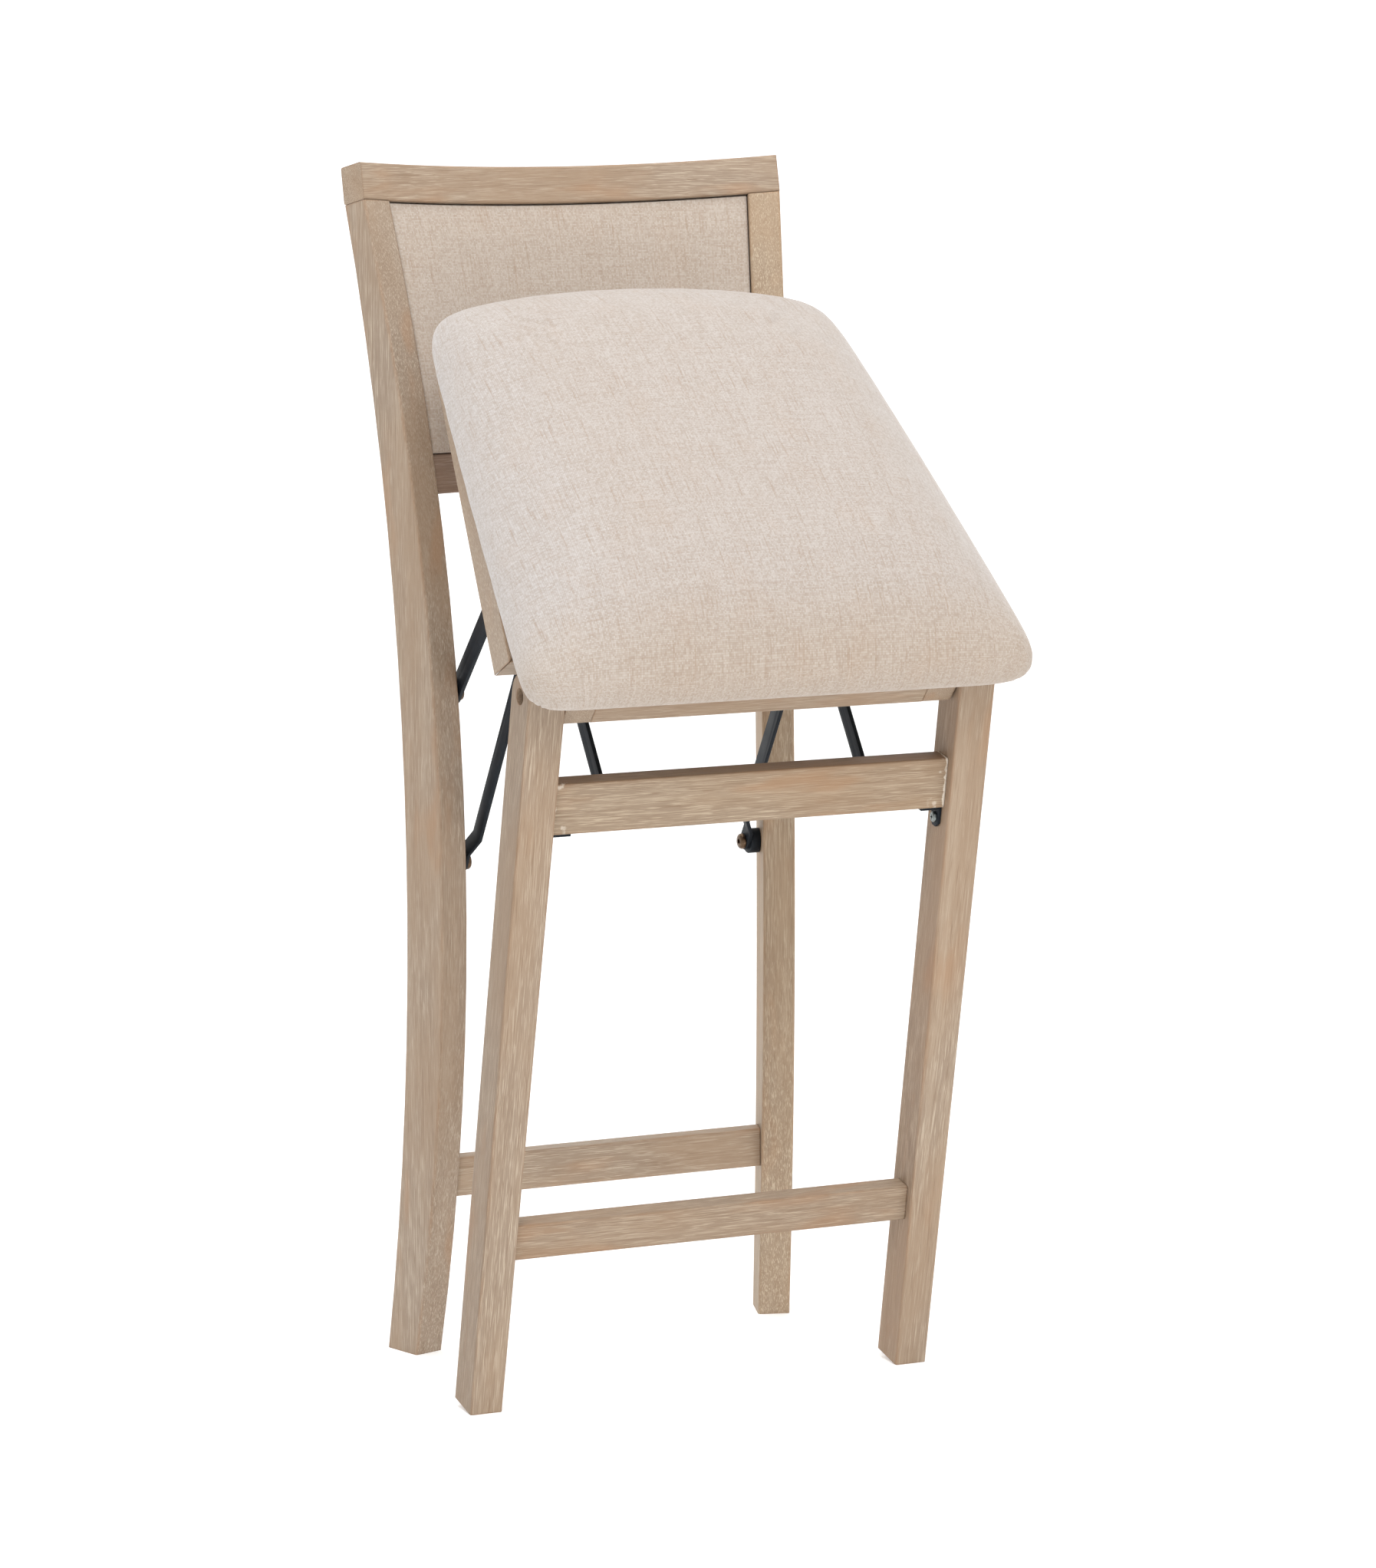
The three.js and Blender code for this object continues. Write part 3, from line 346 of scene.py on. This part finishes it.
# Upholstery: linen-look plain weave of light and tan threads
LINEN_LIGHT = srgb(192, 187, 183)
LINEN = srgb(176, 167, 160)
LINEN_TAN = srgb(157, 143, 130)
LINEN_PAINTED_GAP_SHADE = srgb(140, 121, 104)
LINEN_SLUB = srgb(148, 125, 104)
LINEN_WARM_CLOUD = srgb(172, 150, 131)
LINEN_COOL_CLOUD = srgb(190, 184, 180)
# Painted light on the cushion: warm bounce light at its front, cool light at its left side
PAINTED_WARM_BOUNCE = (0.98, 0.93, 0.86, 1.0)
PAINTED_COOL_LIGHT = (1.05, 1.09, 1.14, 1.0)
BACK_REACH = 0.62  # from the toe centre to the middle of the padded back
THREAD = 0.00145
THREAD_WANDER = 0.0014


def cloth_on_seat(n, place):
    """Thread coordinates on the cushion: across and back on top, and carried on down its sides."""
    x, s, height = n.split(place)
    shift = SEAT_FRAME.to_3x3().transposed() @ SEAT_FRAME.translation
    s = n.math("SUBTRACT", s, shift.y)
    height = n.math("SUBTRACT", height, shift.z)
    half = n.math("SUBTRACT", CUSHION_HALF, n.math("MULTIPLY", s, CUSHION_TAPER))
    side = n.math("DIVIDE", x, half)
    end = n.math("DIVIDE", n.math("SUBTRACT", s, CUSHION_MIDDLE), CUSHION_HALF_DEPTH)
    fall = n.math("MAXIMUM", n.math("SUBTRACT", CUSHION_TURN, height), 0.0)
    on_side = n.math("MULTIPLY", n.step(n.math("ABSOLUTE", side), 0.7, 0.97), n.math("SIGN", side))
    on_end = n.math("MULTIPLY", n.step(n.math("ABSOLUTE", end), 0.76, 0.97), n.math("SIGN", end))
    u = n.math("ADD", x, n.math("MULTIPLY", on_side, fall))
    v = n.math("ADD", s, n.math("MULTIPLY", on_end, fall))
    return u, v


def cloth_on_back(n, place):
    """Thread coordinates on the padded back: round its curve and up."""
    across, back, up = n.split(place)
    angle = n.math("ARCTAN2", across, n.math("SUBTRACT", back, TOE_CENTRE))
    return n.math("MULTIPLY", angle, BACK_REACH), up


def linen_material(name, euler, coordinates, painted_light_tint=WHITE, painted_warmth_from=None):
    """Basket-weave linen. Given a depth to warm from, it is warmer in front of that depth, as painted warm bounce
    light, and cooler at the left side, as painted cool light.
    """
    n = Nodes(name)
    u, v = coordinates(n, n.rotated(n.place(), euler))
    across_u, across_v = u, v
    flat = n.gathered(u, v, 0.0)
    wobble = n.noise(n.scaled(flat, (40, 40, 40)), detail=1.0)
    offset = n.math("MULTIPLY", n.math("SUBTRACT", wobble, 0.5), THREAD_WANDER)
    u = n.math("DIVIDE", n.math("ADD", u, offset), THREAD)
    v = n.math("DIVIDE", n.math("SUBTRACT", v, offset), THREAD)
    crossing = n.add("ShaderNodeTexWhiteNoise", noise_dimensions="3D")
    n.join(n.gathered(n.math("FLOOR", u), n.math("FLOOR", v), 0.0), crossing.inputs["Vector"])
    dome_u = n.math("ABSOLUTE", n.math("SINE", n.math("MULTIPLY", u, math.pi)))
    dome_v = n.math("ABSOLUTE", n.math("SINE", n.math("MULTIPLY", v, math.pi)))
    dome = n.math("POWER", n.math("MULTIPLY", dome_u, dome_v), 0.5)
    warp = n.noise(n.scaled(flat, (620, 16, 1)), detail=2.0, roughness=0.6)
    weft = n.noise(n.scaled(flat, (16, 620, 1)), detail=2.0, roughness=0.6)
    threads = n.math("ADD", n.math("MULTIPLY", warp, 0.55), n.math("MULTIPLY", weft, 0.45))
    speckle = n.math("MULTIPLY", crossing.outputs["Value"], 0.3)
    shade = n.math("ADD", speckle, n.math("MULTIPLY", threads, 0.7))
    color = n.ramp(shade, (0.15, LINEN_TAN), (0.5, LINEN), (0.85, LINEN_LIGHT))
    # Painted shade in the gaps between the threads
    color = n.mix(n.step(dome, 0.7, 0.1, 0.0, 0.3), color, LINEN_PAINTED_GAP_SHADE)
    slub = n.noise(n.scaled(flat, (420, 24, 1)), detail=1.0)
    color = n.mix(n.step(slub, 0.6, 0.74, 0.0, 0.32), color, LINEN_SLUB)
    cross_slub = n.noise(n.scaled(flat, (24, 420, 3)), detail=1.0)
    color = n.mix(n.step(cross_slub, 0.62, 0.76, 0.0, 0.2), color, LINEN_SLUB)
    clouds = n.noise(n.scaled(flat, (24, 15, 1)), detail=4.0, roughness=0.65)
    color = n.mix(n.step(clouds, 0.48, 0.68, 0.0, 0.12), color, LINEN_WARM_CLOUD)
    color = n.mix(n.step(clouds, 0.48, 0.3, 0.0, 0.12), color, LINEN_COOL_CLOUD)
    # Painted light: warmer in front of the given depth as painted warm bounce light, cooler at the left side as
    # painted cool light
    if painted_warmth_from is not None:
        painted_warmth_mask = n.step(across_v, painted_warmth_from, painted_warmth_from - 0.09)
        color = n.mix(painted_warmth_mask, color, PAINTED_WARM_BOUNCE, blend="MULTIPLY")
        color = n.mix(n.step(across_u, -0.1, -0.23), color, PAINTED_COOL_LIGHT, blend="MULTIPLY")
    # Painted light tint over the whole piece of cloth
    color = n.mix(1.0, color, painted_light_tint + (1.0,), blend="MULTIPLY")
    height = n.math("ADD", n.math("MULTIPLY", dome, 0.6), n.math("MULTIPLY", threads, 0.5))
    normal = n.bump(height, 0.0004, 0.22)
    n.shader.inputs["Sheen Weight"].default_value = 0.3
    n.shader.inputs["Sheen Roughness"].default_value = 0.5
    return n.finish(color, 0.95, normal, specular=0.1)


def steel_material():
    n = Nodes("dark_steel")
    place = n.place()
    grit = n.noise(n.scaled(place, (900, 900, 900)), detail=2.0)
    clouds = n.noise(n.scaled(place, (30, 30, 30)), detail=3.0)
    color = n.ramp(clouds, (0.3, srgb(24, 28, 33)), (0.7, srgb(36, 41, 47)))
    rough = n.step(clouds, 0.3, 0.7, 0.42, 0.55)
    return n.finish(color, rough, n.bump(grit, 0.0001, 0.4), metallic=0.05, specular=0.12)


def bronze_material():
    n = Nodes("bronze_hardware")
    place = n.place()
    tarnish = n.noise(n.scaled(place, (260, 260, 260)), detail=4.0, roughness=0.65)
    color = n.ramp(tarnish, (0.3, srgb(70, 56, 45)), (0.6, srgb(112, 91, 72)), (0.8, srgb(150, 127, 102)))
    rough = n.step(tarnish, 0.3, 0.7, 0.45, 0.28)
    return n.finish(color, rough, n.bump(tarnish, 0.00015, 0.4), metallic=0.9, specular=0.5)


def screw_material():
    n = Nodes("screw_steel")
    place = n.place()
    tarnish = n.noise(n.scaled(place, (300, 300, 300)), detail=3.0)
    color = n.ramp(tarnish, (0.3, srgb(104, 110, 110)), (0.7, srgb(150, 156, 154)))
    return n.finish(color, n.step(tarnish, 0.3, 0.7, 0.4, 0.28), n.bump(tarnish, 0.0001, 0.3), metallic=0.85,
                    specular=0.5)


def board_material():
    n = Nodes("board")
    place = n.place()
    fibre = n.noise(n.scaled(place, (30, 520, 520)), detail=4.0, roughness=0.6)
    plies = n.noise(n.scaled(place, (5, 30, 30)), detail=2.0)
    color = n.ramp(fibre, (0.3, srgb(139, 119, 97)), (0.7, srgb(166, 146, 122)))
    color = n.mix(n.step(plies, 0.4, 0.7, 0.0, 0.35), color, srgb(148, 123, 98))
    return n.finish(color, 0.8, n.bump(fibre, 0.0002, 0.3), specular=0.2)


def assign(piece, material):
    piece.data.materials.clear()
    piece.data.materials.append(material)


TOE_CENTRE = FOLD_PIVOT.y + TOE_CENTRE_FROM_FOLD
upright = (0, 0, 0)
along_x = (0, math.radians(90), 0)
lean = math.radians(FRONT_LEAN)
tilt = math.radians(SEAT_TILT)
along_seat = (math.radians(90) - tilt, 0, 0)
WOOD_TURNS = {
    "front_leg_left": (-lean, 0, 0), "front_leg_right": (-lean, 0, 0),
    "rear_leg_left": upright, "rear_leg_right": upright,
    "upper_front_stretcher": along_x, "lower_front_stretcher": along_x, "rear_stretcher": along_x,
    "seat_front_rail": along_x, "seat_cross_member": along_x, "seat_rear_rail": along_x,
    "seat_side_rail_left": along_seat, "seat_side_rail_right": along_seat,
    "pivot_arm_left": along_seat, "pivot_arm_right": along_seat,
    "top_rail": None, "lower_back_rail": None,
}
steel = steel_material()
bronze = bronze_material()
screw_steel = screw_material()
plywood = board_material()
record = frame["record"]
slot_of = {part["node"]: part["material_slot"] for part in record["subparts"]}
body_of = {node: body for body, held in record["behaviour"]["bodies"].items() for node in held}
sides = {"left": -1, "right": 1}
for index, (name, piece) in enumerate(sorted(nodes.items())):
    if slot_of[name] == "wood":
        turn = WOOD_TURNS[name]
        centre = TOE_CENTRE if turn is None else None
        assign(piece, wood_material("wood_" + name, turn or upright, 1.37 * index, curve_centre=centre,
                                    tone_and_painted_light=PIECE_TONES_AND_PAINTED_LIGHT.get(name, WHITE), glue=GLUED_ENDS.get(name),
                                    painted_face_shade=PAINTED_FACE_SHADES.get(name)))
    elif slot_of[name] == "board":
        assign(piece, plywood)


def stands_for(piece, name, material):
    """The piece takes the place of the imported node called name."""
    assign(piece, material)
    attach(piece, body_of[name])
    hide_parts(name)
    return piece


def packed_mesh(name):
    """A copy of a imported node's mesh in the row frame, with its flat faces whole again."""
    mesh = nodes[name].data.copy()
    mesh.transform(nodes[name].matrix_world)
    build = bmesh.new()
    build.from_mesh(mesh)
    bmesh.ops.remove_doubles(build, verts=build.verts, dist=1e-6)
    bmesh.ops.dissolve_limit(build, angle_limit=math.radians(0.6), verts=build.verts, edges=build.edges)
    build.to_mesh(mesh)
    build.free()
    return mesh


def applied(piece):
    """Applies the piece's modifiers to its mesh."""
    graph = bpy.context.evaluated_depsgraph_get()
    mesh = bpy.data.meshes.new_from_object(piece.evaluated_get(graph))
    old = piece.data
    piece.modifiers.clear()
    piece.data = mesh
    bpy.data.meshes.remove(old)


def shade_smooth(piece, angle=None):
    piece.data.shade_smooth()
    if angle is not None:
        piece.data.set_sharp_from_angle(angle=math.radians(angle))


# Steel bars, brackets and spacers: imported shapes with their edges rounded
def rounded_copy(name, width, material):
    piece = add_mesh(name + "_rounded", packed_mesh(name))
    bevel = piece.modifiers.new("edges", "BEVEL")
    bevel.width = width
    bevel.segments = 2
    bevel.limit_method = "ANGLE"
    bevel.angle_limit = math.radians(32)
    applied(piece)
    shade_smooth(piece, 40)
    return stands_for(piece, name, material)


EDGE_WIDTHS = {
    "upper_link": 0.0006, "lower_link": 0.0006, "front_bar": 0.0006,
    "upper_spacer": 0.0009, "lower_spacer": 0.0009,
    "corner_bracket": 0.0005, "bar_bracket": 0.0005,
    "upper_link_bracket": 0.0005, "lower_link_bracket": 0.0005,
    "seat_washer": 0.0002,
}
for kind, width in EDGE_WIDTHS.items():
    for side in sides:
        rounded_copy(f"{kind}_{side}", width, steel)


# Bolts, screws and rivets
def reach_round(_angle):
    return 1.0


def reach_hex(angle):
    return math.cos(math.pi / 6) / math.cos((angle + math.pi / 6) % (math.pi / 3) - math.pi / 6)


CROSS_ARM = 0.24  # half the width of a cross recess's arm, as a share of its reach


def reach_cross(angle):
    short, long = sorted((abs(math.cos(angle)), abs(math.sin(angle))))
    arm = 1.0 / long if short / long < CROSS_ARM else 0.0
    return min(max(arm, CROSS_ARM / max(short, 1e-6)), 1.1)


def turned_mesh(name, place, profile, recess=None, recess_radius=0.0, recess_depth=0.0, steps=48):
    """Solid of revolution along X: its profile is (x, radius) end to end, a recess sinks into its first end."""
    build = bmesh.new()

    def ring(x, radius, shape=reach_round):
        row = []
        for k in range(steps):
            angle = 2 * math.pi * k / steps
            r = radius * shape(angle)
            row.append(build.verts.new((x, place[0] + r * math.cos(angle), place[1] + r * math.sin(angle))))
        return row

    inward = 1 if profile[-1][0] > profile[0][0] else -1
    rows = []
    if recess is not None:
        deep = profile[0][0] + inward * recess_depth
        rows.append(ring(deep, recess_radius * 0.93, recess))
        rows.append(ring(profile[0][0] + inward * 0.0001, recess_radius, recess))
        rows.append(ring(profile[0][0], recess_radius * 1.06, recess))
    rows += [ring(x, radius) for x, radius in profile if radius > 0]
    for low, high in zip(rows, rows[1:]):
        for k in range(steps):
            build.faces.new((low[k], low[(k + 1) % steps], high[(k + 1) % steps], high[k]))
    for row, along in ((rows[0], 0.4 if recess is not None else 0.0), (rows[-1], 0.0)):
        centre = build.verts.new((row[0].co.x + inward * along * recess_depth * 0.3, place[0], place[1]))
        for k in range(steps):
            build.faces.new((row[k], row[(k + 1) % steps], centre))
    bmesh.ops.recalc_face_normals(build, faces=build.faces)
    mesh = bpy.data.meshes.new(name)
    build.to_mesh(mesh)
    build.free()
    return mesh


def head_profile(seat, top, radius):
    """Domed head from its top down to its seat."""
    tall = seat - top
    rows = [(top, radius * 0.36), (top + tall * 0.03, radius * 0.5)]
    for angle in (60, 45, 30, 15, 0):
        share = math.sin(math.radians(angle))
        wide = math.cos(math.radians(angle))
        rows.append((seat - tall * (0.3 + 0.67 * share), radius * (0.62 + 0.38 * wide)))
    return rows + [(seat - tall * 0.06, radius), (seat, radius * 0.97)]


def box_of(name):
    points = [nodes[name].matrix_world @ vertex.co for vertex in nodes[name].data.vertices]
    return [(min(p[i] for p in points), max(p[i] for p in points)) for i in range(3)]


# Head radius and height, shank radius, second head at the far end, and the recess with its radius and depth
FASTENERS = {
    "upper_link_bolt": (0.0072, 0.0045, 0.003, False, reach_hex, 0.0027, 0.0022),
    "lower_link_bolt": (0.0072, 0.0045, 0.003, False, reach_hex, 0.0027, 0.0022),
    "seat_bolt": (0.0066, 0.0045, 0.004, False, reach_hex, 0.0027, 0.0022),
    "corner_screw": (0.0048, 0.0026, 0.002, False, reach_cross, 0.0023, 0.0014),
    "bar_rivet": (0.0054, 0.0024, 0.003, True, None, 0.0, 0.0),
    "upper_seat_bolt": (0.0054, 0.0024, 0.003, True, None, 0.0, 0.0),
    "lower_seat_rivet": (0.0054, 0.0024, 0.003, False, None, 0.0, 0.0),
    "link_stub": (0.0054, 0.0024, 0.003, False, None, 0.0, 0.0),
    "crossing_stub": (0.0054, 0.0024, 0.003, False, None, 0.0, 0.0),
    "crossing_head": (0.0054, 0.0024, 0.003, False, None, 0.0, 0.0),
}
HEAD_OUTWARD = ("seat_bolt", "link_stub", "crossing_stub")
for kind, (head, tall, shank, double, recess, recess_radius, recess_depth) in FASTENERS.items():
    for side, sign in sides.items():
        name = f"{kind}_{side}"
        (low, high), across, up = box_of(name)
        head_at_high = (sign > 0) == (kind in HEAD_OUTWARD)
        top, end = (high, low) if head_at_high else (low, high)
        inward = 1 if end > top else -1
        seat = top + inward * tall
        profile = head_profile(seat, top, head) + [(seat, shank)]
        if double:
            far = end - inward * tall
            profile += [(far, shank)] + list(reversed(head_profile(far, end, head)))
        else:
            profile += [(end - inward * 0.0005, shank), (end, shank * 0.85)]
        place = ((across[0] + across[1]) / 2, (up[0] + up[1]) / 2)
        mesh = turned_mesh(name, place, profile, recess, recess_radius, recess_depth)
        piece = add_mesh(name + "_turned", mesh)
        shade_smooth(piece, 35)
        stands_for(piece, name, screw_steel if kind == "corner_screw" else bronze)


# Cushions
def swollen(piece, held, cap, pressure=4.0, frames=20):
    """Blows the closed cloth up a little. Held points stay, and none moves further than cap(its place)."""
    group = piece.vertex_groups.new(name="held")
    group.add([v.index for v in piece.data.vertices if held(v.co)], 1.0, "REPLACE")
    cloth = piece.modifiers.new("cloth", "CLOTH")
    cloth.settings.quality = 4
    cloth.settings.vertex_group_mass = "held"
    cloth.settings.use_pressure = True
    cloth.settings.uniform_pressure_force = pressure
    cloth.settings.effector_weights.gravity = 0.0
    cloth.point_cache.frame_start = 1
    cloth.point_cache.frame_end = frames
    for number in range(1, frames + 1):
        bpy.context.scene.frame_set(number)
    graph = bpy.context.evaluated_depsgraph_get()
    moved = [v.co.copy() for v in piece.evaluated_get(graph).data.vertices]
    piece.modifiers.clear()
    piece.vertex_groups.clear()
    for vertex, place in zip(piece.data.vertices, moved):
        step = place - vertex.co
        vertex.co += step * min(1.0, cap(vertex.co) / max(step.length, 1e-6))
    bpy.context.scene.frame_set(1)


def remeshed(name, voxel, new_name):
    piece = add_mesh(new_name, packed_mesh(name))
    remesh = piece.modifiers.new("remesh", "REMESH")
    remesh.mode = "VOXEL"
    remesh.voxel_size = voxel
    relax = piece.modifiers.new("relax", "SMOOTH")
    relax.factor = 0.5
    relax.iterations = 4
    applied(piece)
    return piece


def subdivided(piece):
    smooth = piece.modifiers.new("smooth", "SUBSURF")
    smooth.levels = 1
    applied(piece)
    shade_smooth(piece)


SEAT_INVERSE = SEAT_FRAME.inverted()


def seat_coordinates(place):
    local = SEAT_INVERSE @ place
    return local.x, local.y, local.z


CUSHION_CORNERS = ((0.213, -0.012), (-0.213, -0.012))
PLEATS = ((20, 0.8), (45, 1.0), (70, 0.7))  # angle round the corner in degrees, and share of the depth
PLEAT_WIDTH = 7.0
PLEAT_DEPTH = 0.0022
PLEAT_REACH = 0.02  # past the corner's centre
PLEAT_TOP = 0.074
PLEAT_TOP_FADE = 0.02
PLEAT_FOOT = 0.042
PLEAT_FOOT_FADE = 0.006


def clamped(value):
    """The value kept from 0 to 1."""
    return max(0.0, min(1.0, value))


def add_pleats(piece):
    """Small folds where the fabric is gathered round the front corners."""
    normals = [vertex.normal.copy() for vertex in piece.data.vertices]
    for vertex, normal in zip(piece.data.vertices, normals):
        x, s, n = seat_coordinates(vertex.co)
        for corner_x, corner_s in CUSHION_CORNERS:
            dx, ds = (x - corner_x) * math.copysign(1, corner_x), corner_s - s
            if min(dx, ds) < -PLEAT_REACH:
                continue
            angle = math.degrees(math.atan2(ds, dx))
            low = clamped((PLEAT_TOP - n) / PLEAT_TOP_FADE) * clamped((n - PLEAT_FOOT) / PLEAT_FOOT_FADE)
            fold = sum(math.exp(-((angle - at) / PLEAT_WIDTH) ** 2) * share for at, share in PLEATS)
            vertex.co -= normal * PLEAT_DEPTH * low * fold


def ease(value, low, high):
    """0 up to low, 1 from high, with a soft rise between."""
    share = clamped((value - low) / (high - low))
    return share * share * (3 - 2 * share)


RIM_SWELL = 0.0003
CROWN_SWELL = 0.0027
CUSHION_HELD = 0.052  # the fabric is fixed below this height
CUSHION_VOXEL = 0.005


def cushion_cap(place):
    """How far the cushion's fabric may swell: most in the middle of the top, hardly at the rounded rim."""
    x, s, n = seat_coordinates(place)
    from_side = 1 - abs(x) / (CUSHION_HALF - CUSHION_TAPER * s)
    from_end = 1 - abs(s - CUSHION_MIDDLE) / CUSHION_HALF_DEPTH
    inside = ease(from_side, 0.04, 0.4) * ease(from_end, 0.04, 0.4)
    return RIM_SWELL + CROWN_SWELL * inside * ease(n, 0.05, 0.075)


def seat_cushion():
    piece = remeshed("seat_cushion", CUSHION_VOXEL, "seat_cushion_fabric")
    swollen(piece, lambda co: seat_coordinates(co)[2] < CUSHION_HELD, cushion_cap)
    subdivided(piece)
    add_pleats(piece)
    linen = linen_material("linen_seat", (-tilt, 0, 0), cloth_on_seat, painted_warmth_from=0.06)
    stands_for(piece, "seat_cushion", linen)


# Padded back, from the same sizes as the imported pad, in metres from the toe centre
REAR_WAIST = 0.413
REAR_TALL = 1.039
REAR_FACE = 0.5296
REAR_SWEEP = 0.0998
REAR_TOP_DEPTH = 0.0286
REAR_LEG_WIDTH = 0.0295
# Painted light: the back pad is the seat's linen, tinted warmer for the light that falls on it
BACK_PAINTED_LIGHT_TINT = (1.02, 0.975, 0.91)
CROWN_TILT = 13.5
CROWN_DEPTH = REAR_FACE + REAR_SWEEP + REAR_TOP_DEPTH / 2
PAD_LOW = 0.8178
PAD_GAP = 0.0008
PAD_BACK = 0.0185
PAD_INSET = 0.0008
PAD_ROLL = 0.003
PAD_SWELL = 0.0015
PAD_SQUARE = 14  # the higher, the squarer the pad's outline
PAD_HELD = 0.002  # the fabric is fixed from here on behind the pad's face


def rear_face(z):
    tall = REAR_TALL - REAR_WAIST
    radius = (tall ** 2 + REAR_SWEEP ** 2) / (2 * REAR_SWEEP)
    return REAR_FACE + radius - math.sqrt(radius ** 2 - (z - REAR_WAIST) ** 2)


def pad_point(a, b, behind):
    """Point of the padded back at shares a across and b up, both from -1 to 1, behind the legs' faces."""
    toe = math.radians(TOE)

    def turn(reach):
        return a * (toe - math.asin((REAR_LEG_WIDTH / 2 + PAD_GAP) / reach))

    reach = rear_face(REAR_TALL) + behind
    rise = (CROWN_DEPTH * math.cos(toe) - reach * math.cos(turn(reach))) * math.tan(math.radians(CROWN_TILT))
    z = PAD_LOW + (REAR_TALL + rise - PAD_GAP - PAD_LOW) * (b + 1) / 2
    reach = rear_face(z) + behind
    angle = turn(reach)
    return Vector((reach * math.sin(angle), TOE_CENTRE + reach * math.cos(angle), z))


def eased(share):
    """Spreads grid lines so that they lie closer together near the edges."""
    return math.sin(share * math.pi / 2) * 0.55 + share * 0.45


def back_pad():
    across, up, deep = 96, 60, 5
    build = bmesh.new()

    def row_of(b, depth):
        return [build.verts.new(pad_point(eased(2 * i / across - 1), b, depth(i))) for i in range(across + 1)]

    def front_depth(i, j):
        a, b = eased(2 * i / across - 1), eased(2 * j / up - 1)
        return PAD_INSET + PAD_ROLL * (1 - math.sqrt(max(0.0, (1 - a ** PAD_SQUARE) * (1 - b ** PAD_SQUARE))))

    front = [row_of(eased(2 * j / up - 1), lambda i, j=j: front_depth(i, j)) for j in range(up + 1)]
    back = [row_of(eased(2 * j / up - 1), lambda i: PAD_BACK) for j in range(up + 1)]
    for rows in (front, back):
        for low, high in zip(rows, rows[1:]):
            for i in range(across):
                build.faces.new((low[i], low[i + 1], high[i + 1], high[i]))

    def rim(rows):
        right, left = [row[-1] for row in rows[:-1]], [row[0] for row in rows[:0:-1]]
        return rows[0][:-1] + right + rows[-1][:0:-1] + left

    rims = [rim(front)]
    for k in range(1, deep):
        rims.append([build.verts.new(p.co.lerp(q.co, k / deep)) for p, q in zip(rim(front), rim(back))])
    rims.append(rim(back))
    for near, far in zip(rims, rims[1:]):
        for i, point in enumerate(near):
            j = (i + 1) % len(near)
            build.faces.new((point, near[j], far[j], far[i]))
    bmesh.ops.recalc_face_normals(build, faces=build.faces)
    mesh = bpy.data.meshes.new("back_pad_fabric")
    build.to_mesh(mesh)
    build.free()
    piece = add_mesh("back_pad_fabric", mesh)

    def held(co):
        out = Vector((co.x, co.y - TOE_CENTRE)).length - rear_face(co.z)
        return out > PAD_INSET + PAD_HELD

    swollen(piece, held, lambda co: PAD_SWELL)
    subdivided(piece)
    stands_for(piece, "back_pad", linen_material("linen_back", upright, cloth_on_back, painted_light_tint=BACK_PAINTED_LIGHT_TINT))


seat_cushion()
back_pad()


# Studio: a pale floor that runs up into a backdrop, a soft sky and three large lamps
FLOOR_GLOW = 0.3
WALL_GLOW = 0.5  # the backdrop is far from the lamps
GLOW_FROM = 3.0
WALL_FOOT = 7.4
WALL_TOP = 9.0
WALL_BEND = 1.6
FLOOR_HALF = 9.0
SKY = 0.72
LAMP_AIM = Vector((0, 0, 0.6))
LAMPS = (
    ("key", (-1.2, -3.2, 4.0), 2.4, 120.0),
    ("fill", (3.2, -2.6, 2.2), 3.0, 30.0),
    ("top", (-0.4, 0.6, 4.2), 2.4, 60.0),
)


def make_studio():
    mesh = bpy.data.meshes.new("floor")
    build = bmesh.new()
    profile = [(-FLOOR_HALF, 0.0), (WALL_FOOT, 0.0)]
    for step in range(1, 10):
        angle = math.radians(10 * step)
        profile.append((WALL_FOOT + WALL_BEND * math.sin(angle), WALL_BEND * (1 - math.cos(angle))))
    profile.append((WALL_FOOT + WALL_BEND, WALL_TOP))
    rows = [[build.verts.new((x, y, z)) for x in (-FLOOR_HALF, FLOOR_HALF)] for y, z in profile]
    for low, high in zip(rows, rows[1:]):
        build.faces.new((low[0], low[1], high[1], high[0]))
    build.to_mesh(mesh)
    build.free()
    floor = add_mesh("floor", mesh)
    n = Nodes("floor")
    dust = n.noise(n.scaled(n.place(), (3, 3, 3)), detail=2.0)
    n.shader.inputs["Emission Color"].default_value = (1.0, 1.0, 1.0, 1.0)
    glow = n.step(n.split(n.place())[1], GLOW_FROM, WALL_FOOT, FLOOR_GLOW, WALL_GLOW)
    n.join(glow, n.shader.inputs["Emission Strength"])
    assign(floor, n.finish(n.ramp(dust, (0.3, 0.87), (0.7, 0.89)), 0.8, specular=0.1))
    world = bpy.data.worlds.new("sky")
    world.use_nodes = True
    world.node_tree.nodes["Background"].inputs["Color"].default_value = (1.0, 0.99, 0.98, 1.0)
    world.node_tree.nodes["Background"].inputs["Strength"].default_value = SKY
    bpy.context.scene.world = world
    for name, place, size, power in LAMPS:
        data = bpy.data.lights.new(name, "AREA")
        data.shape = "SQUARE"
        data.size = size
        data.energy = power
        lamp = bpy.data.objects.new(name, data)
        lamp.location = place
        aim = LAMP_AIM - Vector(place)
        lamp.rotation_euler = aim.to_track_quat("-Z", "Y").to_euler()
        bpy.context.scene.collection.objects.link(lamp)
    bpy.context.scene.view_settings.view_transform = "Standard"


make_studio()
